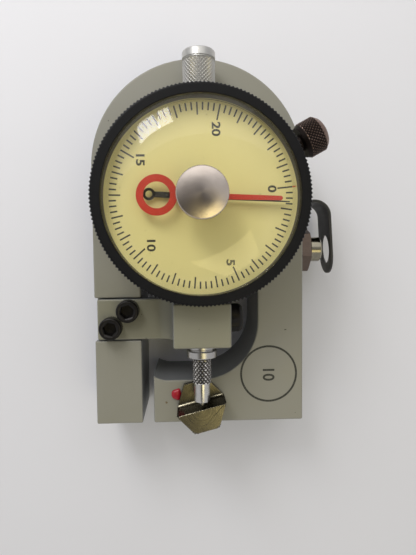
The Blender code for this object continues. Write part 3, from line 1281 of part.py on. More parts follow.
def make_load_stud(gauge):
    """Stud, strap hook and nut on the right side, on the load's line through the beam."""
    line = empty("load_line", (BEAM_RADIUS, -LOAD_AXIS_DROP, BEAM_THICKNESS / 2), gauge)
    profile = [
        (0, STUD_REACH),
        (STUD_RADIUS - STUD_CHAMFER, STUD_REACH),
        (STUD_RADIUS, STUD_REACH - STUD_CHAMFER),
        (STUD_RADIUS, -STUD_DEPTH),
        (0, -STUD_DEPTH),
    ]
    turned("load_stud", BRIGHT_STEEL, line, profile, turn=ALONG_X)

    nut_low = SEAT + STRAP_THICKNESS + SEAT
    nut_high = nut_low + NUT_THICKNESS
    nut = plate(
        "load_nut", BRONZE, line, [hexagon(NUT_ACROSS, NUT_TURN)], nut_low, nut_high, turn=ALONG_X
    )
    corner = NUT_ACROSS / math.sqrt(3)
    round_off = turned(
        "nut_round", None, line,
        [
            (0, nut_high),
            (NUT_ACROSS / 2, nut_high),
            (corner + NUT_EDGE, nut_high - 2 * NUT_EDGE),
            (corner + NUT_EDGE, nut_low + 2 * NUT_EDGE),
            (NUT_ACROSS / 2, nut_low),
            (0, nut_low),
        ],
        turn=ALONG_X,
    )
    keep_inside(nut, round_off)
    cut(nut, rod("nut_bore", None, line, STUD_RADIUS + GAP, 0, nut_high + OVERRUN, turn=ALONG_X))

    outer = STRAP_BEND
    inner = outer - STRAP_THICKNESS
    lean = math.degrees(STRAP_LEAN)
    bend_x = SEAT + outer
    leg_inside = STRAP_REACH - STRAP_THICKNESS / math.cos(STRAP_LEAN)
    outline = [(SEAT, STRAP_BOTTOM)]
    outline += arc(bend_x, STRAP_BEND_RISE, outer, 180, lean)
    outline += [(STRAP_REACH, STRAP_BOTTOM), (leg_inside, STRAP_BOTTOM)]
    outline += arc(bend_x, STRAP_BEND_RISE, inner, lean, 180)
    outline.append((bend_x - inner, STRAP_BOTTOM))
    half = STRAP_WIDTH / 2
    strap = plate("strap_hook", BLACK_PAINT, line, [outline], -half, half)
    top = STRAP_BEND_RISE + outer + OVERRUN
    ends = [(half, top), (-half, top)] + arc(0, -STRAP_END_DROP, half, 180, 360)
    trim = plate("strap_trim", None, line, [ends], -OVERRUN, STRAP_REACH + OVERRUN, turn=ALONG_X)
    keep_inside(strap, trim)
    inner_hole = rod("strap_hole", None, line, STUD_RADIUS + GAP, 0, outer, turn=ALONG_X)
    eye = rod("strap_eye", None, line, STRAP_EYE, outer, STRAP_REACH + OVERRUN, turn=ALONG_X)
    cut(strap, inner_hole, eye)


def main():
    overhang = STRAP_REACH
    top = max(BEAM_RADIUS, DUST_CAP_END - INDICATOR_DROP)
    corner_drop = ANVIL_ACROSS / math.sqrt(3) * math.sin(ANVIL_TURN + math.radians(60))
    anvil_foot = INDICATOR_DROP + ANVIL_DROP + corner_drop
    bottom = max(BEAM_SIDE_DROP, anvil_foot)
    gauge = empty("gauge", (-overhang / 2, (bottom - top) / 2, 0))
    dial_axis = empty("indicator_axis", (INDICATOR_X, -INDICATOR_DROP, BEAM_THICKNESS), gauge)
    make_beam(gauge)
    make_bracket(dial_axis)
    make_stem(dial_axis)
    make_spindle(dial_axis)
    make_dust_cap(dial_axis)
    make_case(dial_axis)
    make_bezel(dial_axis)
    make_max_hand(dial_axis)
    hand_hole = ARBOR_RADIUS + GAP
    make_hand(
        "hand", BLACK_PAINT, dial_axis, HAND_ANGLE, HAND_HEIGHT, HAND_THICKNESS, hand_hole, HAND_HUB,
        HAND_HUB_HEIGHT, HAND_REACH, HAND_ROOT, HAND_END, HAND_RING, HAND_RING_BORE, HAND_RING_REACH,
        HAND_TAIL,
    )
    make_bezel_clamp(dial_axis)
    make_gears(dial_axis)
    make_plates(dial_axis)
    make_rack_guide(dial_axis)
    make_anvil(dial_axis)
    make_load_stud(gauge)


main()
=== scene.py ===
"""The looks of a small force gauge that lies on its back on paper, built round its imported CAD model.

Sizes are in millimetres and are turned to metres where a mesh is made. A piece of the indicator is placed
from the indicator's axis at the beam's front face, and a piece of the beam from the beam's round end.
"""

import math

import bmesh
import bpy
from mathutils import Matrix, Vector


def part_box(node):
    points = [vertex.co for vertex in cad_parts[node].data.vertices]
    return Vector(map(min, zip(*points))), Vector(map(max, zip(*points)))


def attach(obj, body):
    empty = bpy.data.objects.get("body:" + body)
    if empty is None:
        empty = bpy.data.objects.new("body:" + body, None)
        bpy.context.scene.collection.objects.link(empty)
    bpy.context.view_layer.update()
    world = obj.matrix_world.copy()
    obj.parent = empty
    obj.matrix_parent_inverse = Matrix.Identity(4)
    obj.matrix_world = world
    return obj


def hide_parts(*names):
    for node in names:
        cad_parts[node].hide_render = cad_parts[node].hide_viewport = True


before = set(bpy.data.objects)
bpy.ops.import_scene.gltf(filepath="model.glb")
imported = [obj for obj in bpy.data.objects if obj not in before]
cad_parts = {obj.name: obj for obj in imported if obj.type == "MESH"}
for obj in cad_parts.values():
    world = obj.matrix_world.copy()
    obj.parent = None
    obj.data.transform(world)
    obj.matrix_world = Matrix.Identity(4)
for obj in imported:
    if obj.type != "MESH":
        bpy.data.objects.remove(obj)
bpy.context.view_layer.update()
MM = 0.001


# Camera, light and paper. The camera was fitted to the pieces' edges. The light is a window with a middle
# bar, the bright wall round it, a warm lamp at the lower right, and the dark of the hand-held camera. The
# paper is a plain uncoated sheet: pale, matt, with a faint cloudy fibre.
def linear(code):
    """An sRGB hex colour as linear red, green, blue and alpha."""
    parts = [int(code[i : i + 2], 16) / 255 for i in (0, 2, 4)]
    return (*[p / 12.92 if p <= 0.04045 else ((p + 0.055) / 1.055) ** 2.4 for p in parts], 1)


def node(tree, kind, inputs, **settings):
    """Adds a node with its settings. Each input is a value, or the output socket that feeds it."""
    made = tree.nodes.new("ShaderNode" + kind)
    for name, value in settings.items():
        setattr(made, name, value)
    for name, value in inputs.items():
        if isinstance(value, bpy.types.NodeSocket):
            tree.links.new(value, made.inputs[name])
        else:
            made.inputs[name].default_value = value
    return made


def material(name, **values):
    """A new material with one shader, whose plain values are set here."""
    made = bpy.data.materials.new(name)
    made.use_nodes = True
    shader = made.node_tree.nodes["Principled BSDF"]
    for key, value in values.items():
        shader.inputs[key.replace("_", " ").title().replace("Ior", "IOR")].default_value = value
    return made, made.node_tree, shader


scene = bpy.context.scene
scene.view_settings.view_transform = "Standard"

camera_data = bpy.data.cameras.new("camera")
camera_data.sensor_fit = "HORIZONTAL"
camera_data.sensor_width = 36
camera_data.lens = 40.943
camera_data.clip_start = 0.01
camera = bpy.data.objects.new("camera", camera_data)
camera.location = (-0.009266, -0.0015675, 0.168089)
camera.rotation_euler = (-0.05909, -0.04320, -0.01032)
scene.collection.objects.link(camera)
scene.camera = camera

world = bpy.data.worlds.new("room")
scene.world = world
world.use_nodes = True
sky = world.node_tree
way = node(sky, "TexCoord", {}).outputs["Generated"]
dark_way = Vector((-0.1, -0.18, 1)).normalized()
near_dark = node(sky, "VectorMath", {0: way, 1: dark_way}, operation="DOT_PRODUCT").outputs["Value"]
dark_edge = {"Value": near_dark, "From Min": 0.86, "From Max": 0.97}
patch = node(sky, "MapRange", dark_edge, interpolation_type="SMOOTHSTEP").outputs["Result"]
room_colours = {"Factor": patch, 6: linear("d6d6d9"), 7: linear("504c47")}
shade = node(sky, "Mix", room_colours, data_type="RGBA").outputs[2]
background = sky.nodes["Background"]
sky.links.new(shade, background.inputs["Color"])
background.inputs["Strength"].default_value = 0.82


def lamp(name, width, height, power, at, colour):
    """A soft oblong lamp that points at the gauge."""
    data = bpy.data.lights.new(name, "AREA")
    data.shape = "RECTANGLE"
    data.size = width
    data.size_y = height
    data.energy = power
    data.color = linear(colour)[:3]
    made = bpy.data.objects.new(name, data)
    made.location = at
    made.rotation_euler = Vector(at).to_track_quat("Z", "Y").to_euler()
    scene.collection.objects.link(made)


lamp("window_left", 0.064, 0.19, 0.36, (-0.1503, 0.2453, 0.278), "f6f7ff")
lamp("window_right", 0.038, 0.19, 0.2, (-0.0989, 0.2702, 0.278), "fffaf0")
lamp("bright_wall", 0.57, 0.34, 0.54, (-0.04, 0.27, 0.3), "f6f4f4")
lamp("room_lamp", 0.16, 0.22, 0.22, (0.105, -0.135, 0.47), "fff0b4")

PAPER_HALF = 8  # metres: far larger than a real sheet, so that it also fills the low views
paper_mesh = bmesh.new()
bmesh.ops.create_grid(paper_mesh, x_segments=1, y_segments=1, size=PAPER_HALF)


def sharpen(mesh, angle):
    """Smooth sides, and sharp edges where two faces meet at more than the angle."""
    mesh.shade_smooth()
    mesh.set_sharp_from_angle(angle=math.radians(angle))


def finished(name, built, sharp=30):
    """The object of a bmesh, linked to the scene, with smooth sides and sharp edges."""
    bmesh.ops.recalc_face_normals(built, faces=built.faces)
    mesh = bpy.data.meshes.new(name)
    built.to_mesh(mesh)
    built.free()
    sharpen(mesh, sharp)
    obj = bpy.data.objects.new(name, mesh)
    scene.collection.objects.link(obj)
    return obj


paper = finished("paper", paper_mesh)
sheet, tree, shader = material("uncoated_paper", roughness=0.9)
place = node(tree, "TexCoord", {}).outputs["Object"]
cloud = node(tree, "TexNoise", {"Vector": place, "Scale": 9, "Detail": 4}).outputs["Fac"]
fibre = node(tree, "TexNoise", {"Vector": place, "Scale": 1500, "Detail": 3}).outputs["Fac"]
tint = node(tree, "Mix", {"Factor": cloud, 6: linear("e2e2e4"), 7: linear("e8e8ea")}, data_type="RGBA")
tree.links.new(tint.outputs[2], shader.inputs["Base Color"])
rough = node(tree, "Bump", {"Height": fibre, "Strength": 0.2, "Distance": 0.05 * MM})
tree.links.new(rough.outputs["Normal"], shader.inputs["Normal"])
paper.data.materials.append(sheet)


# Beam. One C-shaped block of tool steel, milled and drilled, with a slit in its foot and a cross slot in
# its left leg. It is sprayed with grey enamel: satin, with a fine orange peel, a few dark specks of dust
# and one chip.
beam_low, beam_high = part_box("beam")
BEAM_RADIUS = 31.6
beam_origin = Vector(((beam_low.x + beam_high.x) / 2, beam_high.y - BEAM_RADIUS * MM, beam_low.z))
bezel_low, bezel_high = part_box("bezel")
dial_axis = Vector(((bezel_low.x + bezel_high.x) / 2, (bezel_low.y + bezel_high.y) / 2, beam_high.z))
ANVIL_X = -0.3
ANVIL_Y = -59.6
anvil_axis = dial_axis + Vector((ANVIL_X, ANVIL_Y, 0)) * MM


def arc(x, y, radius, start, end, steps=24):
    """Points along an arc between two angles in degrees."""
    angles = [math.radians(start + (end - start) * i / steps) for i in range(steps + 1)]
    return [(x + radius * math.cos(a), y + radius * math.sin(a)) for a in angles]


def plate(name, outlines, low, high):
    """A flat piece from low to high: its outline first, then those of its holes."""
    curve = bpy.data.curves.new(name, "CURVE")
    curve.dimensions = "2D"
    curve.fill_mode = "BOTH"
    curve.extrude = (high - low) / 2
    for outline in outlines:
        spline = curve.splines.new("POLY")
        spline.points.add(len(outline) - 1)
        spline.use_cyclic_u = True
        for point, (x, y) in zip(spline.points, outline):
            point.co = (x, y, 0, 1)
    drawn = bpy.data.objects.new(name, curve)
    scene.collection.objects.link(drawn)
    mesh = bpy.data.meshes.new_from_object(drawn.evaluated_get(bpy.context.evaluated_depsgraph_get()))
    bpy.data.objects.remove(drawn)
    built = bmesh.new()
    built.from_mesh(mesh)
    bmesh.ops.remove_doubles(built, verts=built.verts, dist=0.001)
    bmesh.ops.translate(built, verts=built.verts, vec=(0, 0, (low + high) / 2))
    bmesh.ops.dissolve_limit(built, angle_limit=0.001, verts=built.verts, edges=built.edges)
    bmesh.ops.scale(built, verts=built.verts, vec=(MM, MM, MM))
    return finished(name, built)


def turned(name, profile, sides=96, ring=False):
    """A turned piece round its own Z. Each point has a radius and a height, and where it is knurled also
    how deep the valleys lie and which columns they take, so that rows in turn make diamonds."""
    built = bmesh.new()
    rows, lows = [], []
    for radius, height, *knurl in profile:
        dip, parity = knurl or (0, 0)
        low = [bool(dip) and (i + parity) % 2 == 0 for i in range(sides)]
        if radius == 0:
            row = [built.verts.new((0, 0, height * MM))] * sides
        else:
            row = []
            for i in range(sides):
                angle = math.tau * i / sides
                at = (radius - dip * low[i]) * MM
                row.append(built.verts.new((at * math.cos(angle), at * math.sin(angle), height * MM)))
        rows.append(row)
        lows.append(low)
    pairs = [(k, k + 1) for k in range(len(rows) - 1)] + [(len(rows) - 1, 0)] * ring
    for k, m in pairs:
        for i in range(sides):
            j = (i + 1) % sides
            corners = list(dict.fromkeys((rows[k][i], rows[k][j], rows[m][j], rows[m][i])))
            if len(corners) < 3:
                continue
            if len(corners) == 3 or not (any(lows[k]) and any(lows[m])):
                built.faces.new(corners)
            elif lows[k][i] and lows[m][j]:
                built.faces.new(corners[:3])
                built.faces.new((corners[0], corners[2], corners[3]))
            else:
                built.faces.new((corners[0], corners[1], corners[3]))
                built.faces.new(corners[1:])
    knurled = any(len(point) > 2 for point in profile)
    return finished(name, built, 12 if knurled else 30)


def rod(radius, low, high, sides=64):
    return turned("cutter", [(0, low), (radius, low), (radius, high), (0, high)], sides)


def block(low, high):
    corners = [(low[0], low[1]), (high[0], low[1]), (high[0], high[1]), (low[0], high[1])]
    return plate("cutter", [corners], low[2], high[2])


def settle(obj):
    """Makes what the object's modifiers show its own mesh."""
    mesh = bpy.data.meshes.new_from_object(obj.evaluated_get(bpy.context.evaluated_depsgraph_get()))
    obj.modifiers.clear()
    obj.data = mesh


def cut(obj, *others, operation="DIFFERENCE"):
    """Cuts others from obj, or joins them to it, and removes them."""
    for other in others:
        modifier = obj.modifiers.new("cut", "BOOLEAN")
        modifier.object = other
        modifier.operation = operation
    settle(obj)
    for other in others:
        bpy.data.objects.remove(other)


def ease(obj, width, segments=3):
    """Rounds the edges by width, and keeps the flat faces flat to the light."""
    bevel = obj.modifiers.new("edges", "BEVEL")
    bevel.width = width * MM
    bevel.segments = segments
    bevel.limit_method = "ANGLE"
    bevel.angle_limit = math.radians(30)
    bevel.use_clamp_overlap = False
    settle(obj)
    sharpen(obj.data, 40)


def flatten(obj):
    """Lets the large flat faces lead the shading of their edges."""
    obj.modifiers.new("flats", "WEIGHTED_NORMAL").keep_sharp = True


def move(obj, origin, at=(0, 0, 0), turn=(0, 0, 0)):
    obj.location = origin + Vector(at) * MM
    obj.rotation_euler = turn
    return obj


def fit(obj, finish, body, slot, *nodes):
    """Gives a piece its finish and its body, and hides the CAD nodes that it stands for."""
    obj.data.materials.clear()
    obj.data.materials.append(finish)
    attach(obj, body)
    if nodes:
        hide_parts(*nodes)


ALONG_X = (0, math.radians(90), 0)
ALONG_Y = (math.radians(-90), 0, 0)
DOWN_Y = (math.radians(90), 0, 0)
ALONG_MINUS_X = (0, math.radians(-90), 0)
BEAM_BOTTOM = -77.5
BEAM_FRONT = 25.4
CUT_RADIUS = 17.65
CUT_CORNER = 7.94
FOOT_TOP = -64.35
SLIT_RIGHT = -14.25
SLOT_TOP = -38.94
SLOT_BOTTOM = -51.89
SLOT_FLOOR = 20.55
outline = [(-BEAM_RADIUS, BEAM_BOTTOM)] + arc(0, 0, BEAM_RADIUS, 180, 0, 120)
outline += [(BEAM_RADIUS, BEAM_BOTTOM), (SLIT_RIGHT, BEAM_BOTTOM)]
outline += arc(-CUT_RADIUS + CUT_CORNER, FOOT_TOP + CUT_CORNER, CUT_CORNER, 235.1, 270, 8)
outline += arc(0, FOOT_TOP + CUT_RADIUS, CUT_RADIUS, 270, 360, 40) + arc(0, 0, CUT_RADIUS, 0, 180, 90)
outline.append((-CUT_RADIUS, BEAM_BOTTOM))
beam = plate("beam_casting", [outline], 0, BEAM_FRONT)
cut(beam, block((-33, SLOT_BOTTOM, SLOT_FLOOR), (-16.5, SLOT_TOP, 27)))
ease(beam, 0.5)
ARM_SCREWS = ((-21.66, -31.62), (-26.74, -36.70))
SCREW_HOLE = 2.3
LOAD_Y = -24.9
LOAD_AT = (BEAM_RADIUS, LOAD_Y, BEAM_FRONT / 2)
LEFT_HOLE_AT = (-BEAM_RADIUS, LOAD_Y, BEAM_FRONT / 2)
STUD_HOLE = 4.27
STUD_RADIUS = 3.97
DIAL_X = 0.35  # of the indicator's axis
DIAL_Y = -10.94
ANVIL_AT = (DIAL_X + ANVIL_X, DIAL_Y + ANVIL_Y, 0)
cut(
    beam,
    move(rod(3.3, -1, 27), Vector(), ANVIL_AT),
    move(rod(4.3, -1, 3.4), Vector(), ANVIL_AT),
    move(rod(STUD_HOLE, -10.9, 1), Vector(), LOAD_AT, ALONG_X),
    move(rod(STUD_RADIUS, -12, 1), Vector(), LEFT_HOLE_AT, ALONG_MINUS_X),
    *[move(rod(SCREW_HOLE, 11.6, 22), Vector(), (x + DIAL_X, y + DIAL_Y, 0)) for x, y in ARM_SCREWS],
)
flatten(beam)


def enamel(name, dark, light, chip):
    """Grey enamel, sprayed and stoved. The cloud is where the coat is thicker, and the peel is 0.8 mm across.
    Faces that do not face up are painted a darker, cooler grey: painted shade."""
    finish, tree, shader = material(name, metallic=0, ior=1.5)
    place = node(tree, "TexCoord", {}).outputs["Object"]
    cloud = node(tree, "TexNoise", {"Vector": place, "Scale": 70, "Detail": 4}).outputs["Fac"]
    grain = node(tree, "TexNoise", {"Vector": place, "Scale": 1250, "Detail": 2}).outputs["Fac"]
    spots = node(tree, "TexNoise", {"Vector": place, "Scale": 700, "Detail": 1}).outputs["Fac"]
    coat = node(tree, "Mix", {"Factor": cloud, 6: linear(dark), 7: linear(light)}, data_type="RGBA")
    # Painted shade: faces that do not face up take a darker, cooler grey.
    normal = node(tree, "NewGeometry", {}).outputs["Normal"]
    facing = node(tree, "SeparateXYZ", {"Vector": normal}).outputs["Z"]
    side_shade_range = {"Value": facing, "From Min": 0.2, "From Max": 0.8, "To Min": 1, "To Max": 0}
    side = node(tree, "MapRange", side_shade_range).outputs["Result"]
    side_shaded = {"Factor": side, 6: coat.outputs[2], 7: linear("7b7d7d")}
    colour = node(tree, "Mix", side_shaded, data_type="RGBA").outputs[2]
    speck = node(tree, "MapRange", {"Value": spots, "From Min": 0.79, "From Max": 0.82}).outputs["Result"]
    specked = {"Factor": speck, 6: colour, 7: linear("3f3a2c")}
    colour = node(tree, "Mix", specked, data_type="RGBA").outputs[2]
    if chip:
        off = node(tree, "VectorMath", {0: place, 1: chip}, operation="DISTANCE").outputs["Value"]
        ragged = node(tree, "Math", {0: grain, 1: MM, 2: off}, operation="MULTIPLY_ADD").outputs["Value"]
        chip_edge = {"Value": ragged, "From Min": 0.85 * MM, "From Max": MM, "To Min": 1, "To Max": 0}
        gone = node(tree, "MapRange", chip_edge).outputs["Result"]
        chipped = {"Factor": gone, 6: colour, 7: linear("6b5a3a")}
        colour = node(tree, "Mix", chipped, data_type="RGBA").outputs[2]
    tree.links.new(colour, shader.inputs["Base Color"])
    thick = {"Value": cloud, "From Min": 0.3, "From Max": 0.7, "To Min": 0.36, "To Max": 0.48}
    gloss = node(tree, "MapRange", thick).outputs["Result"]
    tree.links.new(gloss, shader.inputs["Roughness"])
    peel = node(tree, "Bump", {"Height": grain, "Strength": 0.25, "Distance": 0.04 * MM})
    tree.links.new(peel.outputs["Normal"], shader.inputs["Normal"])
    return finish


chip_at = tuple(Vector((-10.4, -71.3, BEAM_FRONT)) * MM)
move(beam, beam_origin)
fit(beam, enamel("grey_stoved_enamel", "8a8878", "908e82", chip_at), "frame", "body_paint", "beam")


# Stamp on the foot. A rubber stamp's ring with a plain number, in black ink that has soaked unevenly
# into the enamel. It is a film, drawn here as a mesh 0.02 mm thick.
def ink(name, dark, pale):
    """Printing ink: black, matt and a little thin in places."""
    finish, tree, shader = material(name, roughness=0.6)
    place = node(tree, "TexCoord", {}).outputs["Object"]
    thin = node(tree, "TexNoise", {"Vector": place, "Scale": 2200, "Detail": 2}).outputs["Fac"]
    worn = node(tree, "MapRange", {"Value": thin, "From Min": 0.45, "From Max": 0.75}).outputs["Result"]
    colour = node(tree, "Mix", {"Factor": worn, 6: linear(dark), 7: linear(pale)}, data_type="RGBA")
    tree.links.new(colour.outputs[2], shader.inputs["Base Color"])
    return finish


FONT_PER_FIGURE = 1.38
INK_HALF = 0.01


def numeral(text, height, weight, x, y, wide=0.92):
    """A plain printed number, its top to the right, as a mesh from its font."""
    curve = bpy.data.curves.new("numeral", "FONT")
    curve.body = text
    curve.align_x = "CENTER"
    curve.align_y = "CENTER"
    curve.size = height * MM * FONT_PER_FIGURE
    curve.offset = weight * MM
    curve.extrude = INK_HALF * MM
    curve.resolution_u = 6
    drawn = bpy.data.objects.new("numeral", curve)
    scene.collection.objects.link(drawn)
    mesh = bpy.data.meshes.new_from_object(drawn.evaluated_get(bpy.context.evaluated_depsgraph_get()))
    bpy.data.objects.remove(drawn)
    low = min(v.co.y for v in mesh.vertices)
    high = max(v.co.y for v in mesh.vertices)
    for v in mesh.vertices:
        across, up = v.co.x, v.co.y - (low + high) / 2
        v.co = (x * MM + up, y * MM - across * wide, v.co.z)
    return mesh


def printed(name, meshes, boxes=()):
    """One piece of print from ready meshes and from flat strokes, each with its four corners."""
    built = bmesh.new()
    for mesh in meshes:
        built.from_mesh(mesh)
    for corners in boxes:
        for height in (-INK_HALF, INK_HALF):
            built.faces.new([built.verts.new((x * MM, y * MM, height * MM)) for x, y in corners])
    return finished(name, built)


STAMP_AT = (20.69, -52.0, 0.02)
STAMP_RADIUS = 8.5
STAMP_LINE = 0.6
edges = [arc(0, 0, STAMP_RADIUS + side * STAMP_LINE / 2, 0, 357.5, 143) for side in (1, -1)]
ring_print = plate("stamp_ring", edges, -INK_HALF, INK_HALF)
stamp_ink = ink("stamp_ink", "2c2c25", "4a493d")
move(ring_print, dial_axis, STAMP_AT)
fit(ring_print, stamp_ink, "frame", "body_paint")
number_print = printed("stamp_number", [numeral("10", 3.6, 0.09, 0, 0)])
move(number_print, dial_axis, STAMP_AT)
fit(number_print, stamp_ink, "frame", "body_paint")


# Bracket. Its arm lies in the leg's cross slot, and its block grips the indicator's stem. It is milled
# from one bar and sprayed with the same enamel as the beam, a little yellower.
BLOCK_HALF = 7.94
ARM_END = -31.1
ARM_LOW = -4.7
ARM_HIGH = 0.5
ARM_FILLET = 5
STEM_HEIGHT = 7.6
STEM_HOLE = 5.06
CLAMP_SCREW_Y = -33.3
outline = [(ARM_END, ARM_LOW), (BLOCK_HALF, ARM_LOW), (BLOCK_HALF, 15.7), (-BLOCK_HALF, 15.7)]
outline += arc(-BLOCK_HALF - ARM_FILLET, ARM_HIGH + ARM_FILLET, ARM_FILLET, 0, -90) + [(ARM_END, ARM_HIGH)]
bracket = plate("bracket_casting", [outline], 28.3, 40.65)
ease(bracket, 0.6)
cut(
    bracket,
    move(rod(STEM_HOLE, 27, 42), Vector(), (0, STEM_HEIGHT, 0)),
    move(rod(SCREW_HOLE, 0, 9), Vector(), (0, STEM_HEIGHT, -CLAMP_SCREW_Y), ALONG_X),
    *[move(rod(SCREW_HOLE, -6, 2), Vector(), (x, 0, -y), DOWN_Y) for x, y in ARM_SCREWS],
)
flatten(bracket)
move(bracket, dial_axis, (0, 0, 0), DOWN_Y)
fit(bracket, enamel("bracket_enamel", "817f6b", "878572", None), "frame", "bracket_paint", "bracket")


# Cap screws. Alloy steel, cold headed, with a fine straight knurl on the head and a hexagonal socket, and
# blacked in oil, which leaves a dark, oily, slightly brown sheen.
def turned_place(tree, place):
    """A point's height along a turned piece's axis, and its distance from that axis."""
    parts = node(tree, "SeparateXYZ", {"Vector": place}).outputs
    flat = node(tree, "CombineXYZ", {"X": parts["X"], "Y": parts["Y"]}).outputs["Vector"]
    return parts["Z"], node(tree, "VectorMath", {0: flat}, operation="LENGTH").outputs["Value"]


def painted_valley_shade(tree, place, colour, crest, knurl_end, valley_shade):
    """Painted shade in the valleys of a knurl: a darker colour up to a height on the piece's axis and under
    its crests' radius.
    """
    height, radius = turned_place(tree, place)
    unshaded = node(tree, "MapRange", {"Value": radius, "From Min": (crest - 0.25) * MM, "From Max": crest * MM})
    plain = node(tree, "Math", {0: height, 1: knurl_end * MM}, operation="GREATER_THAN").outputs["Value"]
    unshaded = node(tree, "Math", {0: unshaded.outputs["Result"], 1: plain}, operation="MAXIMUM").outputs["Value"]
    return node(tree, "Mix", {"Factor": unshaded, 6: linear(valley_shade), 7: colour}, data_type="RGBA").outputs[2]


def blacked(name, dark, light, roughness, crest=None, knurl_end=0, valley_shade="0c0a09"):
    """Blacked steel: a thin dark oxide over metal, patchy in gloss."""
    finish, tree, shader = material(name, metallic=0.75)
    place = node(tree, "TexCoord", {}).outputs["Object"]
    patch = node(tree, "TexNoise", {"Vector": place, "Scale": 800, "Detail": 4}).outputs["Fac"]
    steel = node(tree, "Mix", {"Factor": patch, 6: linear(dark), 7: linear(light)}, data_type="RGBA")
    colour = steel.outputs[2]
    # Where it is knurled, its valleys take a painted shade.
    if crest:
        colour = painted_valley_shade(tree, place, colour, crest, knurl_end, valley_shade)
    tree.links.new(colour, shader.inputs["Base Color"])
    gloss = node(
        tree, "MapRange", {"Value": patch, "To Min": roughness - 0.12, "To Max": roughness + 0.15}
    ).outputs["Result"]
    tree.links.new(gloss, shader.inputs["Roughness"])
    grain = node(tree, "Bump", {"Height": patch, "Strength": 0.3, "Distance": 0.02 * MM})
    tree.links.new(grain.outputs["Normal"], shader.inputs["Normal"])
    return finish


black_steel = blacked("blacked_steel", "1b1a19", "302d2a", 0.38)


HEAD_GAP = 0.15
HEAD_KNURL = 0.55
SOCKET_CORNER = 2.08
SOCKET_DEPTH = 2.6


def cap_screw(name, radius, height, rounding, shank, length, at, turn, node_name):
    """A cap screw whose head's underside lies at its origin, its knurl's teeth a whole number."""
    teeth = round(math.tau * radius / HEAD_KNURL)
    profile = [(0, height)] + arc(radius - rounding, height - rounding, rounding, 90, 15, 6)
    profile += [(radius, height - rounding, 0.12, 0), (radius, 0.2, 0.12, 0), (radius - 0.2, 0), (shank, 0)]
    profile += [(shank, -length), (0, -length)]
    screw = turned(name, profile, 2 * teeth)
    hexagon = arc(0, 0, SOCKET_CORNER, 0, 360, 6)[:-1]
    socket = plate("cutter", [hexagon], height - SOCKET_DEPTH, height + 1)
    cut(screw, socket)
    move(screw, dial_axis, at, turn)
    fit(screw, black_steel, "frame", "black_steel", node_name)


for number, (x, y), turn in ((1, ARM_SCREWS[0], 0.3), (2, ARM_SCREWS[1], 0.8)):
    at = (x, y, ARM_HIGH + HEAD_GAP)
    cap_screw(f"arm_cap_screw_{number}", 3.35, 4.17, 0.6, 2, 14, at, (0, 0, turn), f"arm_screw_{number}")
clamp_screw_at = (BLOCK_HALF + HEAD_GAP, CLAMP_SCREW_Y, STEM_HEIGHT)
cap_screw("stem_cap_screw", 4.05, 3.6, 1.4, 2, 3.0, clamp_screw_at, ALONG_X, "stem_clamp_screw")


# Stem, dust cap, contact point and spindle. Stainless and plated steel, turned, with a diamond knurl rolled
# into the grips, its pitch a little over 1 mm here and so coarser than the real one, to show in the render.
# Turning leaves fine rings round the axis, and the knurl's valleys are painted darker than its crests:
# painted shade.
def turned_metal(name, dark, light, roughness, crest=None, knurl_end=0, valley_shade="5a5852"):
    """Turned bright metal: rings round the axis, 0.25 mm apart and so coarser than real ones, which would not
    show. Where it is knurled, up to knurl_end, a painted shade darkens the valleys under the crests' radius."""
    finish, tree, shader = material(name, metallic=1)
    place = node(tree, "TexCoord", {}).outputs["Object"]
    height, _ = turned_place(tree, place)
    marks = node(tree, "TexNoise", {"W": height, "Scale": 4000, "Detail": 2}, noise_dimensions="1D")
    patch = node(tree, "TexNoise", {"Vector": place, "Scale": 500, "Detail": 3}).outputs["Fac"]
    steel = node(tree, "Mix", {"Factor": patch, 6: linear(dark), 7: linear(light)}, data_type="RGBA")
    colour = steel.outputs[2]
    if crest:
        colour = painted_valley_shade(tree, place, colour, crest, knurl_end, valley_shade)
    tree.links.new(colour, shader.inputs["Base Color"])
    gloss = node(tree, "MapRange", {"Value": patch, "To Min": roughness - 0.06, "To Max": roughness + 0.1})
    tree.links.new(gloss.outputs["Result"], shader.inputs["Roughness"])
    bump = node(tree, "Bump", {"Height": marks.outputs["Fac"], "Strength": 0.25, "Distance": 0.02 * MM})
    tree.links.new(bump.outputs["Normal"], shader.inputs["Normal"])
    return finish


bright_steel = turned_metal("turned_stainless_steel", "b4b2ae", "cbc9c5", 0.27)


def diamonds(radius, start, end, pitch, dip):
    """Rows of a diamond knurl from start to end."""
    count = max(2, round(abs(end - start) / pitch * 2))
    return [(radius, start + (end - start) * i / count, dip, i % 2) for i in range(count + 1)]


DUST_CAP_RADIUS = 4.6
profile = [(0, 41.3), (3.7, 41.3), (4.25, 41.22), (4.5, 41.0), (DUST_CAP_RADIUS, 40.7)]
profile += [(DUST_CAP_RADIUS, 39.05), (4.35, 38.85), (4.35, 38.7), (4.55, 38.6)]
profile += diamonds(DUST_CAP_RADIUS, 38.5, 27.1, 1.05, 0.3)
profile += [(4.4, 26.8), (3.5, 26.8), (3.5, 40.2), (0, 40.2)]
dust_cap = turned("dust_cap_knurled", profile, 56)
move(dust_cap, dial_axis, (0, 0, STEM_HEIGHT), ALONG_Y)
# The last colour is a painted shade for the knurl's valleys.
cap_steel = turned_metal("knurled_cap_steel", "bab9b4", "d0cfca", 0.38, DUST_CAP_RADIUS, 38.6, "c0beb8")
fit(dust_cap, cap_steel, "frame", "bright_steel", "dust_cap")

STEM_RADIUS = 4.7625
STEM_BORE = 2.5
profile = [(STEM_BORE, 44.6), (3.9, 44.6), (4.25, 44.5), (4.375, 44.3), (4.375, 42.7), (4.25, 42.5)]
profile += [(3.55, 42.5), (3.55, 42.05), (3.85, 42.05), (4.0, 41.9), (4.0, 41.05), (3.9, 40.95)]
profile += [(STEM_RADIUS, 40.95), (STEM_RADIUS, 26.55), (3.9, 26.55), (3.9, 21.5), (STEM_BORE, 21.5)]
stem = turned("stem_turned", profile, 96, ring=True)
move(stem, dial_axis, (0, 0, STEM_HEIGHT), DOWN_Y)
fit(stem, bright_steel, "frame", "bright_steel", "stem")

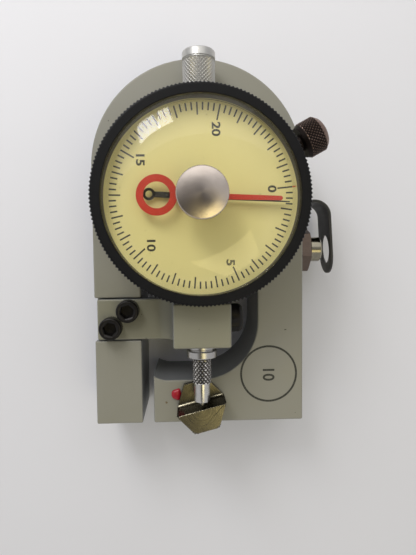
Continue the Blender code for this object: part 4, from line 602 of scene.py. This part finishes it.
POINT_RADIUS = 2.7
profile = [(0, 59.1), (0.4, 59.02), (0.75, 58.75), (0.95, 58.2), (0.95, 57.8), (1.75, 57.8)]
profile += [(2.05, 57.72), (2.25, 57.5), (2.3, 57.25), (2.3, 52.2), (2.6, 52.1)]
profile += diamonds(POINT_RADIUS, 52.0, 45.5, 1.25, 0.34) + [(2.5, 45.2), (1.8, 45.2), (1.8, 50.9), (0, 50.9)]
point = turned("contact_point_knurled", profile, 28)
move(point, dial_axis, (0, 0, STEM_HEIGHT), DOWN_Y)
# The last colour is a painted shade for the knurl's valleys.
sleeve_steel = turned_metal("knurled_sleeve_steel", "c4c2bd", "dddbd6", 0.24, POINT_RADIUS, 52.05, "55524d")
fit(point, sleeve_steel, "spindle", "bright_steel", "contact_point")


# Case and back cover. Die-cast zinc in black gloss enamel: a cup with a lug for the clamp screw and four
# bosses for the cover, which four small slotted screws hold.
def gloss_black(name, colour, worn, roughness):
    """Black enamel, brushed and stoved: deep, glossy, a little dusty."""
    finish, tree, shader = material(name, metallic=0, ior=1.5)
    place = node(tree, "TexCoord", {}).outputs["Object"]
    dust = node(tree, "TexNoise", {"Vector": place, "Scale": 260, "Detail": 5}).outputs["Fac"]
    grain = node(tree, "TexNoise", {"Vector": place, "Scale": 1600, "Detail": 2}).outputs["Fac"]
    coat = node(tree, "Mix", {"Factor": dust, 6: linear(colour), 7: linear(worn)}, data_type="RGBA")
    tree.links.new(coat.outputs[2], shader.inputs["Base Color"])
    gloss = node(tree, "MapRange", {"Value": dust, "To Min": roughness - 0.08, "To Max": roughness + 0.14})
    tree.links.new(gloss.outputs["Result"], shader.inputs["Roughness"])
    peel = node(tree, "Bump", {"Height": grain, "Strength": 0.15, "Distance": 0.02 * MM})
    tree.links.new(peel.outputs["Normal"], shader.inputs["Normal"])
    return finish


case_black = gloss_black("black_gloss_enamel", "141413", "22211f", 0.28)
CASE_BACK = 2.45
CASE_RADIUS = 26.4
FINE_SIDES = 160  # of the large round pieces
profile = [(25, 16.6), (25, 16.1), (24.5, 16.1), (24.5, 15.1), (25, 15.1), (25, 14.6), (26.2, 14.6)]
profile += [(CASE_RADIUS, 14.4), (CASE_RADIUS, 2.6), (26.25, CASE_BACK), (24.2, CASE_BACK)]
profile += [(24.2, 14.9), (1.5, 14.9), (1.5, 16.6)]
case = turned("case_cup", profile, FINE_SIDES, ring=True)
CLAMP_ANGLE = math.radians(28.8)
CLAMP_HEIGHT = 11.85
clamp_turn = (0, ALONG_X[1], CLAMP_ANGLE)
SCREW_CIRCLE = 22.4
PLATE_CIRCLE = 16.5
screw_places = [(*arc(0, 0, SCREW_CIRCLE, angle, angle, 1)[0], 0) for angle in (45, 135, 225, 315)]
plate_places = [(*arc(0, 0, PLATE_CIRCLE, angle, angle, 1)[0], 0) for angle in (340, 235, 175)]
lug = move(rod(2.6, 25.4, 27.9), Vector(), (0, 0, CLAMP_HEIGHT), clamp_turn)
cut(case, lug, *[move(rod(2.2, 2.6, 7.35, 32), Vector(), at) for at in screw_places], operation="UNION")
cut(
    case,
    move(rod(1.8, 22, 29), Vector(), (0, 0, CLAMP_HEIGHT), clamp_turn),
    move(rod(4.2, 23.2, 27.4), Vector(), (0, 0, STEM_HEIGHT), DOWN_Y),
    move(rod(3.5, 23.2, 27.4), Vector(), (0, 0, STEM_HEIGHT), ALONG_Y),
    *[move(rod(1.2, 0, 8, 24), Vector(), at) for at in screw_places],
    *[move(rod(0.9, 14, 17, 24), Vector(), at) for at in plate_places],
    *[move(rod(1.7, 15.4, 18, 24), Vector(), at) for at in plate_places],
)
sharpen(case.data, 30)
move(case, dial_axis)
fit(case, case_black, "frame", "case_enamel", "case")

profile = [(0, 2.3), (26.25, 2.3), (CASE_RADIUS, 2.15), (CASE_RADIUS, 0.8), (26.1, 0.5), (0, 0.5)]
cover = turned("back_cover_disc", profile, FINE_SIDES)
cut(
    cover,
    *[move(rod(1.2, 0, 4, 24), Vector(), at) for at in screw_places],
    *[move(rod(1.8, 0, 1.7, 32), Vector(), at) for at in screw_places],
)
sharpen(cover.data, 30)
move(cover, dial_axis)
fit(cover, case_black, "frame", "case_enamel", "back_cover")

for number, at in enumerate(screw_places, start=1):
    head = [(0, 0.65), (1.2, 0.65), (1.5, 0.9), (1.5, 1.55), (0.9, 1.55), (0.9, 7.05), (0, 7.05)]
    screw = turned(f"back_slotted_screw_{number}", head, 40)
    slot = plate("cutter", [[(-2, -0.2), (2, -0.2), (2, 0.2), (-2, 0.2)]], 0.4, 1.1)
    cut(screw, move(slot, Vector(), (0, 0, 0), (0, 0, 0.7 * number)))
    move(screw, dial_axis, at)
    fit(screw, black_steel, "frame", "black_steel", f"back_screw_{number}")


# Bezel. Turned aluminium with a fine straight knurl round its rim, painted matt black. Fingers have
# polished the rim, where the paint is thin and greyer on the crests of the knurl.
BEZEL_TEETH = 170
BEZEL_RADIUS = 28.575
profile = [(26.25, 21.75), (25.6, 21.75), (25.6, 22.2), (25.7, 22.3), (27.7, 22.3)]
profile += [(28.1, 22.2, 0.12, 0), (28.4, 21.95, 0.3, 0), (BEZEL_RADIUS, 21.6, 0.5, 0)]
profile += [(BEZEL_RADIUS, 18.5, 0.5, 0), (28.3, 18.2, 0.1, 0), (27.9, 18.0), (27.9, 15.1)]
profile += [(27.7, 14.9), (25.3, 14.9)]
profile += [(25.3, 15.1), (25.8, 15.1), (25.8, 16.1), (25.3, 16.1), (25.3, 16.6), (26.25, 16.6)]
bezel = turned("bezel_knurled", profile, 2 * BEZEL_TEETH, ring=True)
finish, tree, shader = material("matt_black_bezel_paint", metallic=0, specular_ior_level=0.16)
place = node(tree, "TexCoord", {}).outputs["Object"]
_, radius = turned_place(tree, place)
dust = node(tree, "TexNoise", {"Vector": place, "Scale": 450, "Detail": 5}).outputs["Fac"]
crest = node(tree, "MapRange", {"Value": radius, "From Min": 28.4 * MM, "From Max": 28.6 * MM})
worn = node(tree, "Math", {0: crest.outputs["Result"], 1: dust}, operation="MULTIPLY").outputs["Value"]
paint = node(tree, "Mix", {"Factor": dust, 6: linear("0a0a0b"), 7: linear("131313")}, data_type="RGBA")
colour = node(tree, "Mix", {"Factor": worn, 6: paint.outputs[2], 7: linear("3f3d3f")}, data_type="RGBA")
tree.links.new(colour.outputs[2], shader.inputs["Base Color"])
rubbed_rim = {"Value": radius, "From Min": 27.6 * MM, "From Max": 28.1 * MM, "To Min": 0.55, "To Max": 0.33}
matt = node(tree, "MapRange", rubbed_rim)
tree.links.new(matt.outputs["Result"], shader.inputs["Roughness"])
tool_marks = node(tree, "TexNoise", {"W": radius, "Scale": 2500, "Detail": 2}, noise_dimensions="1D")
rings = tool_marks.outputs["Fac"]
bump = node(tree, "Bump", {"Height": rings, "Strength": 0.25, "Distance": 0.03 * MM})
tree.links.new(bump.outputs["Normal"], shader.inputs["Normal"])
move(bezel, dial_axis)
fit(bezel, finish, "bezel", "bezel_enamel", "bezel")

profile = [(25.95, 21.3), (25.95, 17.45), (25.45, 17.45), (25.45, 20.6), (25.5, 20.7)]
inner_ring = turned("dial_retaining_ring", profile, FINE_SIDES, ring=True)
ring_black = gloss_black("retaining_ring_enamel", "14120c", "211e14", 0.4)
move(inner_ring, dial_axis)
fit(inner_ring, ring_black, "bezel", "bezel_enamel", "dial_ring")


# Dial. Sheet aluminium, stoved pale yellow and printed in black: one hundred marks and plain numbers,
# and one short orange mark at zero. The enamel has gone a little uneven with age.
profile = [(25.95, 17.25), (25.9, 17.3), (1.5, 17.3), (1.5, 16.9), (25.95, 16.9)]
dial = turned("dial_plate", profile, FINE_SIDES, ring=True)
finish, tree, shader = material("yellow_dial_enamel", roughness=0.55, ior=1.5)
place = node(tree, "TexCoord", {}).outputs["Object"]
cloud = node(tree, "TexNoise", {"Vector": place, "Scale": 90, "Detail": 4}).outputs["Fac"]
spots = node(tree, "TexNoise", {"Vector": place, "Scale": 900, "Detail": 1}).outputs["Fac"]
speck = node(tree, "MapRange", {"Value": spots, "From Min": 0.74, "From Max": 0.82, "To Max": 0.35})
yellow = node(tree, "Mix", {"Factor": cloud, 6: linear("dcd292"), 7: linear("e4da9c")}, data_type="RGBA")
specked = {"Factor": speck.outputs["Result"], 6: yellow.outputs[2], 7: linear("8d7f49")}
colour = node(tree, "Mix", specked, data_type="RGBA")
tree.links.new(colour.outputs[2], shader.inputs["Base Color"])
bump = node(tree, "Bump", {"Height": spots, "Strength": 0.1, "Distance": 0.02 * MM})
tree.links.new(bump.outputs["Normal"], shader.inputs["Normal"])
move(dial, dial_axis)
fit(dial, finish, "bezel", "dial_yellow", "dial")

MARK_OUTER = 24.4
PRINT_X = 0.1
PRINT_Y = 0.2
MARK_WIDTH = 0.4
ZERO_ANGLE = 5.9
MARK_STEP = 3.6


def mark(index, outer, inner):
    """The four corners of one mark across the dial's edge."""
    angle = math.radians(ZERO_ANGLE - MARK_STEP * index)
    along = Vector((math.cos(angle), math.sin(angle)))
    side = Vector((-along.y, along.x)) * MARK_WIDTH / 2
    near, far = along * inner, along * outer
    return [tuple(p) for p in (near - side, far - side, far + side, near + side)]


marks = []
for index in range(100):
    length = 4.2 if index % 20 == 0 else 3.2 if index % 4 == 0 else 2.04
    marks.append(mark(index, MARK_OUTER, MARK_OUTER - length))
print_ink = ink("dial_print_ink", "2a2820", "4b4735")
PRINT_Z = 17.32
scale_print = printed("dial_marks", [], marks)
move(scale_print, dial_axis, (PRINT_X, PRINT_Y, PRINT_Z))
fit(scale_print, print_ink, "bezel", "dial_yellow")
places = {"0": (18.8, 2.14), "5": (7.64, -17.2), "10": (-13.27, -12.2), "15": (-15.75, 10.0)}
places["20"] = (4.09, 17.7)
number_meshes = [numeral(text, 2.2, 0.09, x, y, wide=1.22) for text, (x, y) in places.items()]
numbers = printed("dial_numbers", number_meshes)
move(numbers, dial_axis, (0, 0, PRINT_Z))
fit(numbers, print_ink, "bezel", "dial_yellow")
orange = printed("dial_zero_mark", [], [mark(0, 25.1, MARK_OUTER)])
move(orange, dial_axis, (PRINT_X, PRINT_Y, PRINT_Z))
fit(orange, ink("orange_ink", "c8642c", "d98a4a"), "bezel", "dial_yellow")


# Crystal. A moulded acrylic lens with a low dome and a rounded shoulder, pressed into the bezel and bored
# for the knob's arbor. It is clear, glossy, with hair-fine rubs. It is thin, so that the dial shows unbent
# through it, and its coat carries the gloss of acrylic.
DOME_DROP = 2.3
DOME_RADIUS = 24.5
ARBOR_HOLE = 1.3


def dome(top, outer, steps=24):
    """Points of a lens that is flat in the middle and falls off more and more to its shoulder."""
    across = [ARBOR_HOLE + (outer - ARBOR_HOLE) * i / steps for i in range(steps)]
    return [(radius, top - DOME_DROP * (radius / DOME_RADIUS) ** 6) for radius in across]


profile = dome(25.4, 24.3) + arc(24.35, 21.85, 1.1, 73, 0, 8)
profile += [(25.45, 21.6), (25.95, 21.6), (25.95, 21.45), (25.45, 21.0), (24.25, 21.0)]
profile += dome(24.1, 24.0)[::-1]
crystal = turned("crystal_lens", profile, FINE_SIDES, ring=True)
finish, tree, shader = material(
    "clear_acrylic", transmission_weight=1.0, ior=1.03, coat_weight=0.6, coat_ior=1.49, coat_roughness=0.05
)
shader.inputs["Base Color"].default_value = linear("fefef8")
place = node(tree, "TexCoord", {}).outputs["Object"]
rubs = node(tree, "TexNoise", {"Vector": place, "Scale": 300, "Detail": 6, "Distortion": 2}).outputs["Fac"]
hazy = {"Value": rubs, "From Min": 0.5, "From Max": 0.8, "To Min": 0.01, "To Max": 0.06}
rubbed = node(tree, "MapRange", hazy)
tree.links.new(rubbed.outputs["Result"], shader.inputs["Roughness"])
path = node(tree, "LightPath", {}).outputs
passing = node(tree, "Math", {0: path["Is Shadow Ray"], 1: path["Is Diffuse Ray"]}, operation="MAXIMUM")
clear = node(tree, "BsdfTransparent", {"Color": linear("fcfbf6")})
mixed = node(
    tree, "MixShader", {0: passing.outputs["Value"], 1: shader.outputs["BSDF"], 2: clear.outputs["BSDF"]}
)
tree.links.new(mixed.outputs["Shader"], tree.nodes["Material Output"].inputs["Surface"])
move(crystal, dial_axis)
fit(crystal, finish, "bezel", "crystal_clear", "crystal")


# Knob, arbor and red hand. The knob is turned from nickel-plated brass with a very fine knurl, and its
# face shows the rings of the turning tool, which smear the light to both sides. The hand is stamped from
# thin brass and enamelled red.
KNOB_RADIUS = 6.55
profile = [(radius, 29.7 - 0.5 * (radius / 6.3) ** 2) for radius in (0, 1, 2, 3, 4, 5, 5.8, 6.2)]
profile += [(6.4, 29.1, 0.06, 0), (KNOB_RADIUS, 28.9, 0.3, 0), (KNOB_RADIUS, 26.1, 0.3, 0)]
profile += [(6.4, 25.9), (6.1, 25.8), (ARBOR_HOLE, 25.8), (ARBOR_HOLE, 27.9), (0, 27.9)]
knob = turned("knob_knurled", profile, 140)
knob_steel, tree, shader = material("turned_nickel_plate", metallic=1, roughness=0.2, anisotropic=0.6)
place = node(tree, "TexCoord", {}).outputs["Object"]
_, radius = turned_place(tree, place)
tool_marks = node(tree, "TexNoise", {"W": radius, "Scale": 5000, "Detail": 3}, noise_dimensions="1D")
rings = tool_marks.outputs["Fac"]
stain = node(tree, "TexNoise", {"Vector": place, "Scale": 350, "Detail": 5}).outputs["Fac"]
colour = node(tree, "Mix", {"Factor": stain, 6: linear("bdb1a6"), 7: linear("dcd1c6")}, data_type="RGBA")
tree.links.new(colour.outputs[2], shader.inputs["Base Color"])
bump = node(tree, "Bump", {"Height": rings, "Strength": 0.3, "Distance": 0.01 * MM})
tree.links.new(bump.outputs["Normal"], shader.inputs["Normal"])
round_axis = node(tree, "Tangent", {}, direction_type="RADIAL", axis="Z").outputs["Tangent"]
tree.links.new(round_axis, shader.inputs["Tangent"])
move(knob, dial_axis)
fit(knob, knob_steel, "max_hand", "knob_steel", "knob")

RED_ANGLE = math.radians(-1.75)
RED_HEIGHT = 20.5


def hand(name, thickness, root, end, reach, ring, bore, ring_reach, tail, hub, hub_height, hole):
    """A hand from above: the pointer to +X, and a tail with a ring."""
    low, high = -thickness / 2, thickness / 2
    pointer = [(0, -root / 2), (0, root / 2)] + arc(reach - end / 2, 0, end / 2, 90, -90, 12)
    blade = plate(name, [pointer], low, high)
    near = (ring + bore) / 2 - ring_reach
    bar = plate("bar", [[(0, -tail / 2), (0, tail / 2), (near, tail / 2), (near, -tail / 2)]], low, high)
    loop = plate("loop", [arc(-ring_reach, 0, ring, 0, 360, 64)[:-1]], low, high)
    cut(blade, bar, loop, rod(hub, -hub_height / 2, hub_height / 2), operation="UNION")
    ease(blade, 0.08, 2)
    ring_hole = move(rod(bore, -1, 1), Vector(), (-ring_reach, 0, 0))
    cut(blade, ring_hole, rod(hole, -1, 1, 32))
    blade.data.set_sharp_from_angle(angle=math.radians(40))
    flatten(blade)
    return blade


red_hand = hand("red_hand", 0.5, 1.6, 1.15, 21, 5.27, 3.42, 11.48, 1.6, 2.4, 1.1, 1.3)
finish, tree, shader = material("red_hand_enamel", ior=1.5)
place = node(tree, "TexCoord", {}).outputs["Object"]
cloud = node(tree, "TexNoise", {"Vector": place, "Scale": 600, "Detail": 4}).outputs["Fac"]
colour = node(tree, "Mix", {"Factor": cloud, 6: linear("ad2b1b"), 7: linear("c03725")}, data_type="RGBA")
tree.links.new(colour.outputs[2], shader.inputs["Base Color"])
gloss = node(tree, "MapRange", {"Value": cloud, "To Min": 0.3, "To Max": 0.5})
tree.links.new(gloss.outputs["Result"], shader.inputs["Roughness"])
bump = node(tree, "Bump", {"Height": cloud, "Strength": 0.3, "Distance": 0.03 * MM})
tree.links.new(bump.outputs["Normal"], shader.inputs["Normal"])
move(red_hand, dial_axis, (0, 0, RED_HEIGHT), (0, 0, RED_ANGLE))
fit(red_hand, finish, "max_hand", "red_enamel", "max_hand")

BLACK_ANGLE = math.radians(-3.4)
BLACK_HEIGHT = 18.5
black_hand = hand("black_hand", 0.3, 1.1, 0.3, 23.3, 1.6, 0.9, 13.6, 1.5, 1.7, 1.2, 0.95)
move(black_hand, dial_axis, (0, 0, BLACK_HEIGHT), (0, 0, BLACK_ANGLE))
fit(black_hand, gloss_black("black_hand_enamel", "1b1a17", "2a2822", 0.4), "hand", "black_enamel", "hand")


# Bezel clamp. A steel thumb screw with a diamond knurl and a low domed end, blacked and now brown with
# handling. Its neck runs close under the bezel's edge into the case's lug.
CLAMP_RADIUS = 5.05
profile = [(0, 39.0), (1.6, 38.93), (2.8, 38.7), (3.7, 38.3), (4.1, 38.0), (4.75, 37.2)]
profile += diamonds(CLAMP_RADIUS, 36.9, 32.8, 1.0, 0.32)
profile += [(4.85, 32.6), (4.3, 31.6), (2.5, 31.6), (2.3, 31.4)]
profile += [(2.3, 28.2), (1.5, 28.2), (1.5, 23.2), (0, 23.2)]
clamp = turned("bezel_clamp_knurled", profile, 64)
move(clamp, dial_axis, (0, 0, CLAMP_HEIGHT), clamp_turn)
# The last colour is a painted shade for the knurl's valleys.
browned = blacked("browned_steel", "655349", "8d766a", 0.34, CLAMP_RADIUS, 36.95, "211a16")
fit(clamp, browned, "bezel_clamp", "brown_steel", "bezel_clamp")


# Anvil. A hexagonal bar of steel, milled to leave a sloping wall on a thin flange, with a small round at the
# wall's foot, and plated in yellowish nickel. The land shows wide concentric tool marks. The wall and the
# flange are painted dark, and the whole piece darker lower down: painted shade and painted reflection.
ANVIL_TURN = math.radians(14.6)
HEX_CORNER = 12.7 / math.sqrt(3)  # of a bar half an inch across its flats
wall = [(-9, 0.15), (9, 0.15), (9, 2.1), (0.75, 2.1), (0.55, 2.15), (0.2, 2.5), (0.1, 2.7), (0, 10), (-9, 10)]
anvil = plate("anvil_milled", [wall], -9, 9)
anvil.rotation_euler = (math.radians(90), 0, math.radians(90))
bpy.context.view_layer.update()
anvil.data.transform(anvil.matrix_world)
anvil.rotation_euler = (0, 0, 0)
hexagon = plate("cutter", [arc(0, 0, HEX_CORNER, 0, 360, 6)[:-1]], -1, 12)
cut(anvil, hexagon, operation="INTERSECT")
land = [(0, 11), (5.85, 11), (8.35, 8.5), (8.35, -1), (0, -1)]
cut(anvil, turned("cutter", land), operation="INTERSECT")
ease(anvil, 0.18, 2)
shank = rod(3, -18, 0.6)
cut(anvil, shank, operation="UNION")
cut(anvil, rod(1.8, -19, -8.7))
flatten(anvil)
nickel, tree, shader = material("yellowed_nickel_plate", metallic=1, anisotropic=0.4)
place = node(tree, "TexCoord", {}).outputs["Object"]
height, radius = turned_place(tree, place)
tool_marks = node(tree, "TexNoise", {"W": radius, "Scale": 1800, "Detail": 3}, noise_dimensions="1D")
rings = tool_marks.outputs["Fac"]
patch = node(tree, "TexNoise", {"Vector": place, "Scale": 420, "Detail": 4}).outputs["Fac"]
blend = node(tree, "Math", {0: rings, 1: patch}, operation="MULTIPLY").outputs["Value"]
tone = node(tree, "MapRange", {"Value": blend, "From Min": 0.1, "From Max": 0.4}).outputs["Result"]
colour = node(tree, "Mix", {"Factor": tone, 6: linear("79735e"), 7: linear("b6af96")}, data_type="RGBA")
# Painted shade and reflection: faces that do not face up, and the lower parts, take a dark colour.
facing = node(tree, "SeparateXYZ", {"Vector": node(tree, "TexCoord", {}).outputs["Normal"]}).outputs["Z"]
upward = node(tree, "MapRange", {"Value": facing, "From Min": 0.35, "From Max": 0.75}).outputs["Result"]
climb = node(tree, "MapRange", {"Value": height, "From Min": 2.3 * MM, "From Max": 9 * MM})
raised = climb.outputs["Result"]
shade_by_height = node(tree, "MapRange", {"Value": raised, "To Min": 0.5, "To Max": 0.7}).outputs["Result"]
unshaded = node(tree, "Math", {0: upward, 1: shade_by_height}, operation="MULTIPLY").outputs["Value"]
colour = node(tree, "Mix", {"Factor": unshaded, 6: linear("37342a"), 7: colour.outputs[2]}, data_type="RGBA")
tree.links.new(colour.outputs[2], shader.inputs["Base Color"])
gloss = node(tree, "MapRange", {"Value": tone, "To Min": 0.34, "To Max": 0.2})
tree.links.new(gloss.outputs["Result"], shader.inputs["Roughness"])
cuts = node(tree, "Math", {0: rings, 1: raised}, operation="MULTIPLY").outputs["Value"]
bump = node(tree, "Bump", {"Height": cuts, "Strength": 0.5, "Distance": 0.03 * MM})
tree.links.new(bump.outputs["Normal"], shader.inputs["Normal"])
move(anvil, anvil_axis, (0, 0, 0), (0, 0, ANVIL_TURN))
fit(anvil, nickel, "anvil", "yellow_nickel", "anvil")

profile = [(0, -9.0), (1.5, -9.0), (1.5, -22.15), (3.8, -22.15), (4.0, -22.35), (4.0, -24.55), (3.75, -24.75)]
profile.append((0, -24.75))
anvil_screw = turned("anvil_slotted_screw", profile, 64)
cut(anvil_screw, plate("cutter", [[(-5, -0.45), (5, -0.45), (5, 0.45), (-5, 0.45)]], -26, -23.6))
move(anvil_screw, anvil_axis, (0, 0, 0), (0, 0, 0.6))
fit(anvil_screw, black_steel, "frame", "black_steel", "anvil_screw")


# Seal. A drop of red lacquer, brushed on the foot and drawn out in two tails along the anvil's edge, so
# that a turn of the anvil would crack it.
SEAL_TURN = math.radians(165)
SEAL_REACH = 7.75
SEAL_RADIUS = 1.48
SEAL_HEIGHT = 0.8
SEAL_ROWS = 8
SEAL_SIDES = 48
built = bmesh.new()
rows = []
for k in range(1, SEAL_ROWS + 1):
    rise = math.radians(90 * (1 - k / SEAL_ROWS))
    row = []
    for i in range(SEAL_SIDES):
        angle = math.tau * i / SEAL_SIDES
        tails = sum(math.exp(-(((math.degrees(angle) - to + 180) % 360 - 180) / 24) ** 2) for to in (58, 296))
        spread = SEAL_RADIUS * (1 - 0.1 * math.sin(angle) + 0.05 * math.sin(3 * angle + 1) + 0.4 * tails)
        out = spread * math.cos(rise)
        at = Vector((out * math.cos(angle), out * math.sin(angle), SEAL_HEIGHT * math.sin(rise)))
        row.append(built.verts.new(at * MM))
    rows.append(row)
top = built.verts.new((0, 0, SEAL_HEIGHT * MM))
for i in range(SEAL_SIDES):
    j = (i + 1) % SEAL_SIDES
    built.faces.new((top, rows[0][i], rows[0][j]))
    for low, high in zip(rows, rows[1:]):
        built.faces.new((low[i], high[i], high[j], low[j]))
built.faces.new(rows[-1])
seal = finished("anvil_seal_drop", built)
finish, tree, shader = material("red_sealing_lacquer", roughness=0.35, ior=1.5)
place = node(tree, "TexCoord", {}).outputs["Object"]
cloud = node(tree, "TexNoise", {"Vector": place, "Scale": 900, "Detail": 3}).outputs["Fac"]
colour = node(tree, "Mix", {"Factor": cloud, 6: linear("8c0a1e"), 7: linear("be192d")}, data_type="RGBA")
tree.links.new(colour.outputs[2], shader.inputs["Base Color"])
bump = node(tree, "Bump", {"Height": cloud, "Strength": 0.4, "Distance": 0.05 * MM})
tree.links.new(bump.outputs["Normal"], shader.inputs["Normal"])
seal_at = (SEAL_REACH * math.cos(SEAL_TURN), SEAL_REACH * math.sin(SEAL_TURN), 0.15)
move(seal, anvil_axis, seal_at)
fit(seal, finish, "frame", "seal_lacquer", "anvil_seal")


# Load stud, nut and strap hook. The stud is bright plated steel, turned with a groove, the jam nut is
# browned steel, and the hook is a strip of spring steel bent back on itself, punched with an eye and
# enamelled black.
load_line = beam_origin + Vector(LOAD_AT) * MM
profile = [(0, -10.6), (STUD_RADIUS, -10.6), (STUD_RADIUS, 4.45), (3.6, 4.6), (3.6, 5.0)]
profile += [(STUD_RADIUS, 5.15), (STUD_RADIUS, 8.1), (3.5, 8.55), (0, 8.55)]
stud = turned("load_stud_turned", profile, 96)
move(stud, load_line, (0, 0, 0), ALONG_X)
stud_steel = turned_metal("turned_stud_steel", "7d786a", "9d9784", 0.14)
fit(stud, stud_steel, "frame", "bright_steel", "load_stud")

NUT_BACK = 1.2
NUT_FRONT = 4.4
widest = HEX_CORNER + 0.2
nut = plate("load_jam_nut", [arc(0, 0, HEX_CORNER, 17, 377, 6)[:-1]], NUT_BACK, NUT_FRONT)
rounding = [(0, NUT_FRONT), (6.8, NUT_FRONT), (widest, 4.15), (widest, 1.45), (6.8, NUT_BACK), (0, NUT_BACK)]
cut(nut, turned("cutter", rounding, 96), operation="INTERSECT")
cut(nut, rod(STUD_HOLE, 0, 7))
ease(nut, 0.08, 2)
flatten(nut)
move(nut, load_line, (0, 0, 0), ALONG_X)
fit(nut, blacked("browned_nut_steel", "5c4e46", "786a5e", 0.42), "frame", "brown_steel", "load_nut")

STRAP_HALF = 6.35
LEAN = 3.3
outline = [(0.15, -7.91)] + arc(5.4, 10.45, 5.25, 180, LEAN, 40) + [(11.717, -7.91), (10.816, -7.91)]
outline += arc(5.4, 10.45, 4.35, LEAN, 180, 40) + [(1.05, -7.91)]
strap = plate("strap_hook_bent", [outline], -STRAP_HALF, STRAP_HALF)
ends = [(STRAP_HALF, 16.5), (-STRAP_HALF, 16.5)] + arc(0, -1.56, STRAP_HALF, 180, 360, 40)
trim = plate("cutter", [ends], -1, 12)
cut(strap, move(trim, Vector(), (0, 0, 0), ALONG_X), operation="INTERSECT")
holes = [rod(STUD_HOLE, 0, 5.45), rod(4.65, 5.45, 12)]
cut(strap, *[move(hole, Vector(), (0, 0, 0), ALONG_X) for hole in holes])
ease(strap, 0.15, 2)
flatten(strap)
move(strap, load_line)
fit(strap, gloss_black("strap_black_enamel", "21201d", "33312d", 0.42), "frame", "black_strap", "strap_hook")


# Movement. Brass plates, pillars, bridge and wheels, stamped and cut, on steel pinions and arbors, with a
# steel hairspring and return spring. The CAD solids stand as they are and take their metals here.
finish, tree, shader = material("clock_brass", metallic=1)
place = node(tree, "TexCoord", {}).outputs["Object"]
grain = node(tree, "Mapping", {"Vector": place, "Scale": (2500, 120, 120)}).outputs["Vector"]
brushed = node(tree, "TexNoise", {"Vector": grain, "Scale": 1, "Detail": 3}).outputs["Fac"]
stain = node(tree, "TexNoise", {"Vector": place, "Scale": 300, "Detail": 4}).outputs["Fac"]
colour = node(tree, "Mix", {"Factor": stain, 6: linear("a9854a"), 7: linear("cdaa66")}, data_type="RGBA")
tree.links.new(colour.outputs[2], shader.inputs["Base Color"])
gloss = node(tree, "MapRange", {"Value": brushed, "To Min": 0.25, "To Max": 0.45})
tree.links.new(gloss.outputs["Result"], shader.inputs["Roughness"])
bump = node(tree, "Bump", {"Height": brushed, "Strength": 0.2, "Distance": 0.01 * MM})
tree.links.new(bump.outputs["Normal"], shader.inputs["Normal"])
slots = {"brass": finish, "black_steel": black_steel, "bright_steel": bright_steel}
steel_nodes = {
    "spindle", "guide_pin", "bezel_wire", "knob_arbor", "rack_pinion", "middle_pinion", "centre_pinion",
    "takeup_arbor", "hairspring", "return_spring", "spring_post",
}
for name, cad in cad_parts.items():
    if cad.hide_render:
        continue
    slot = "brass"
    if name in steel_nodes:
        slot = "bright_steel"
    elif name.startswith("plate_screw"):
        slot = "black_steel"
    cad.data.materials.clear()
    cad.data.materials.append(slots[slot])
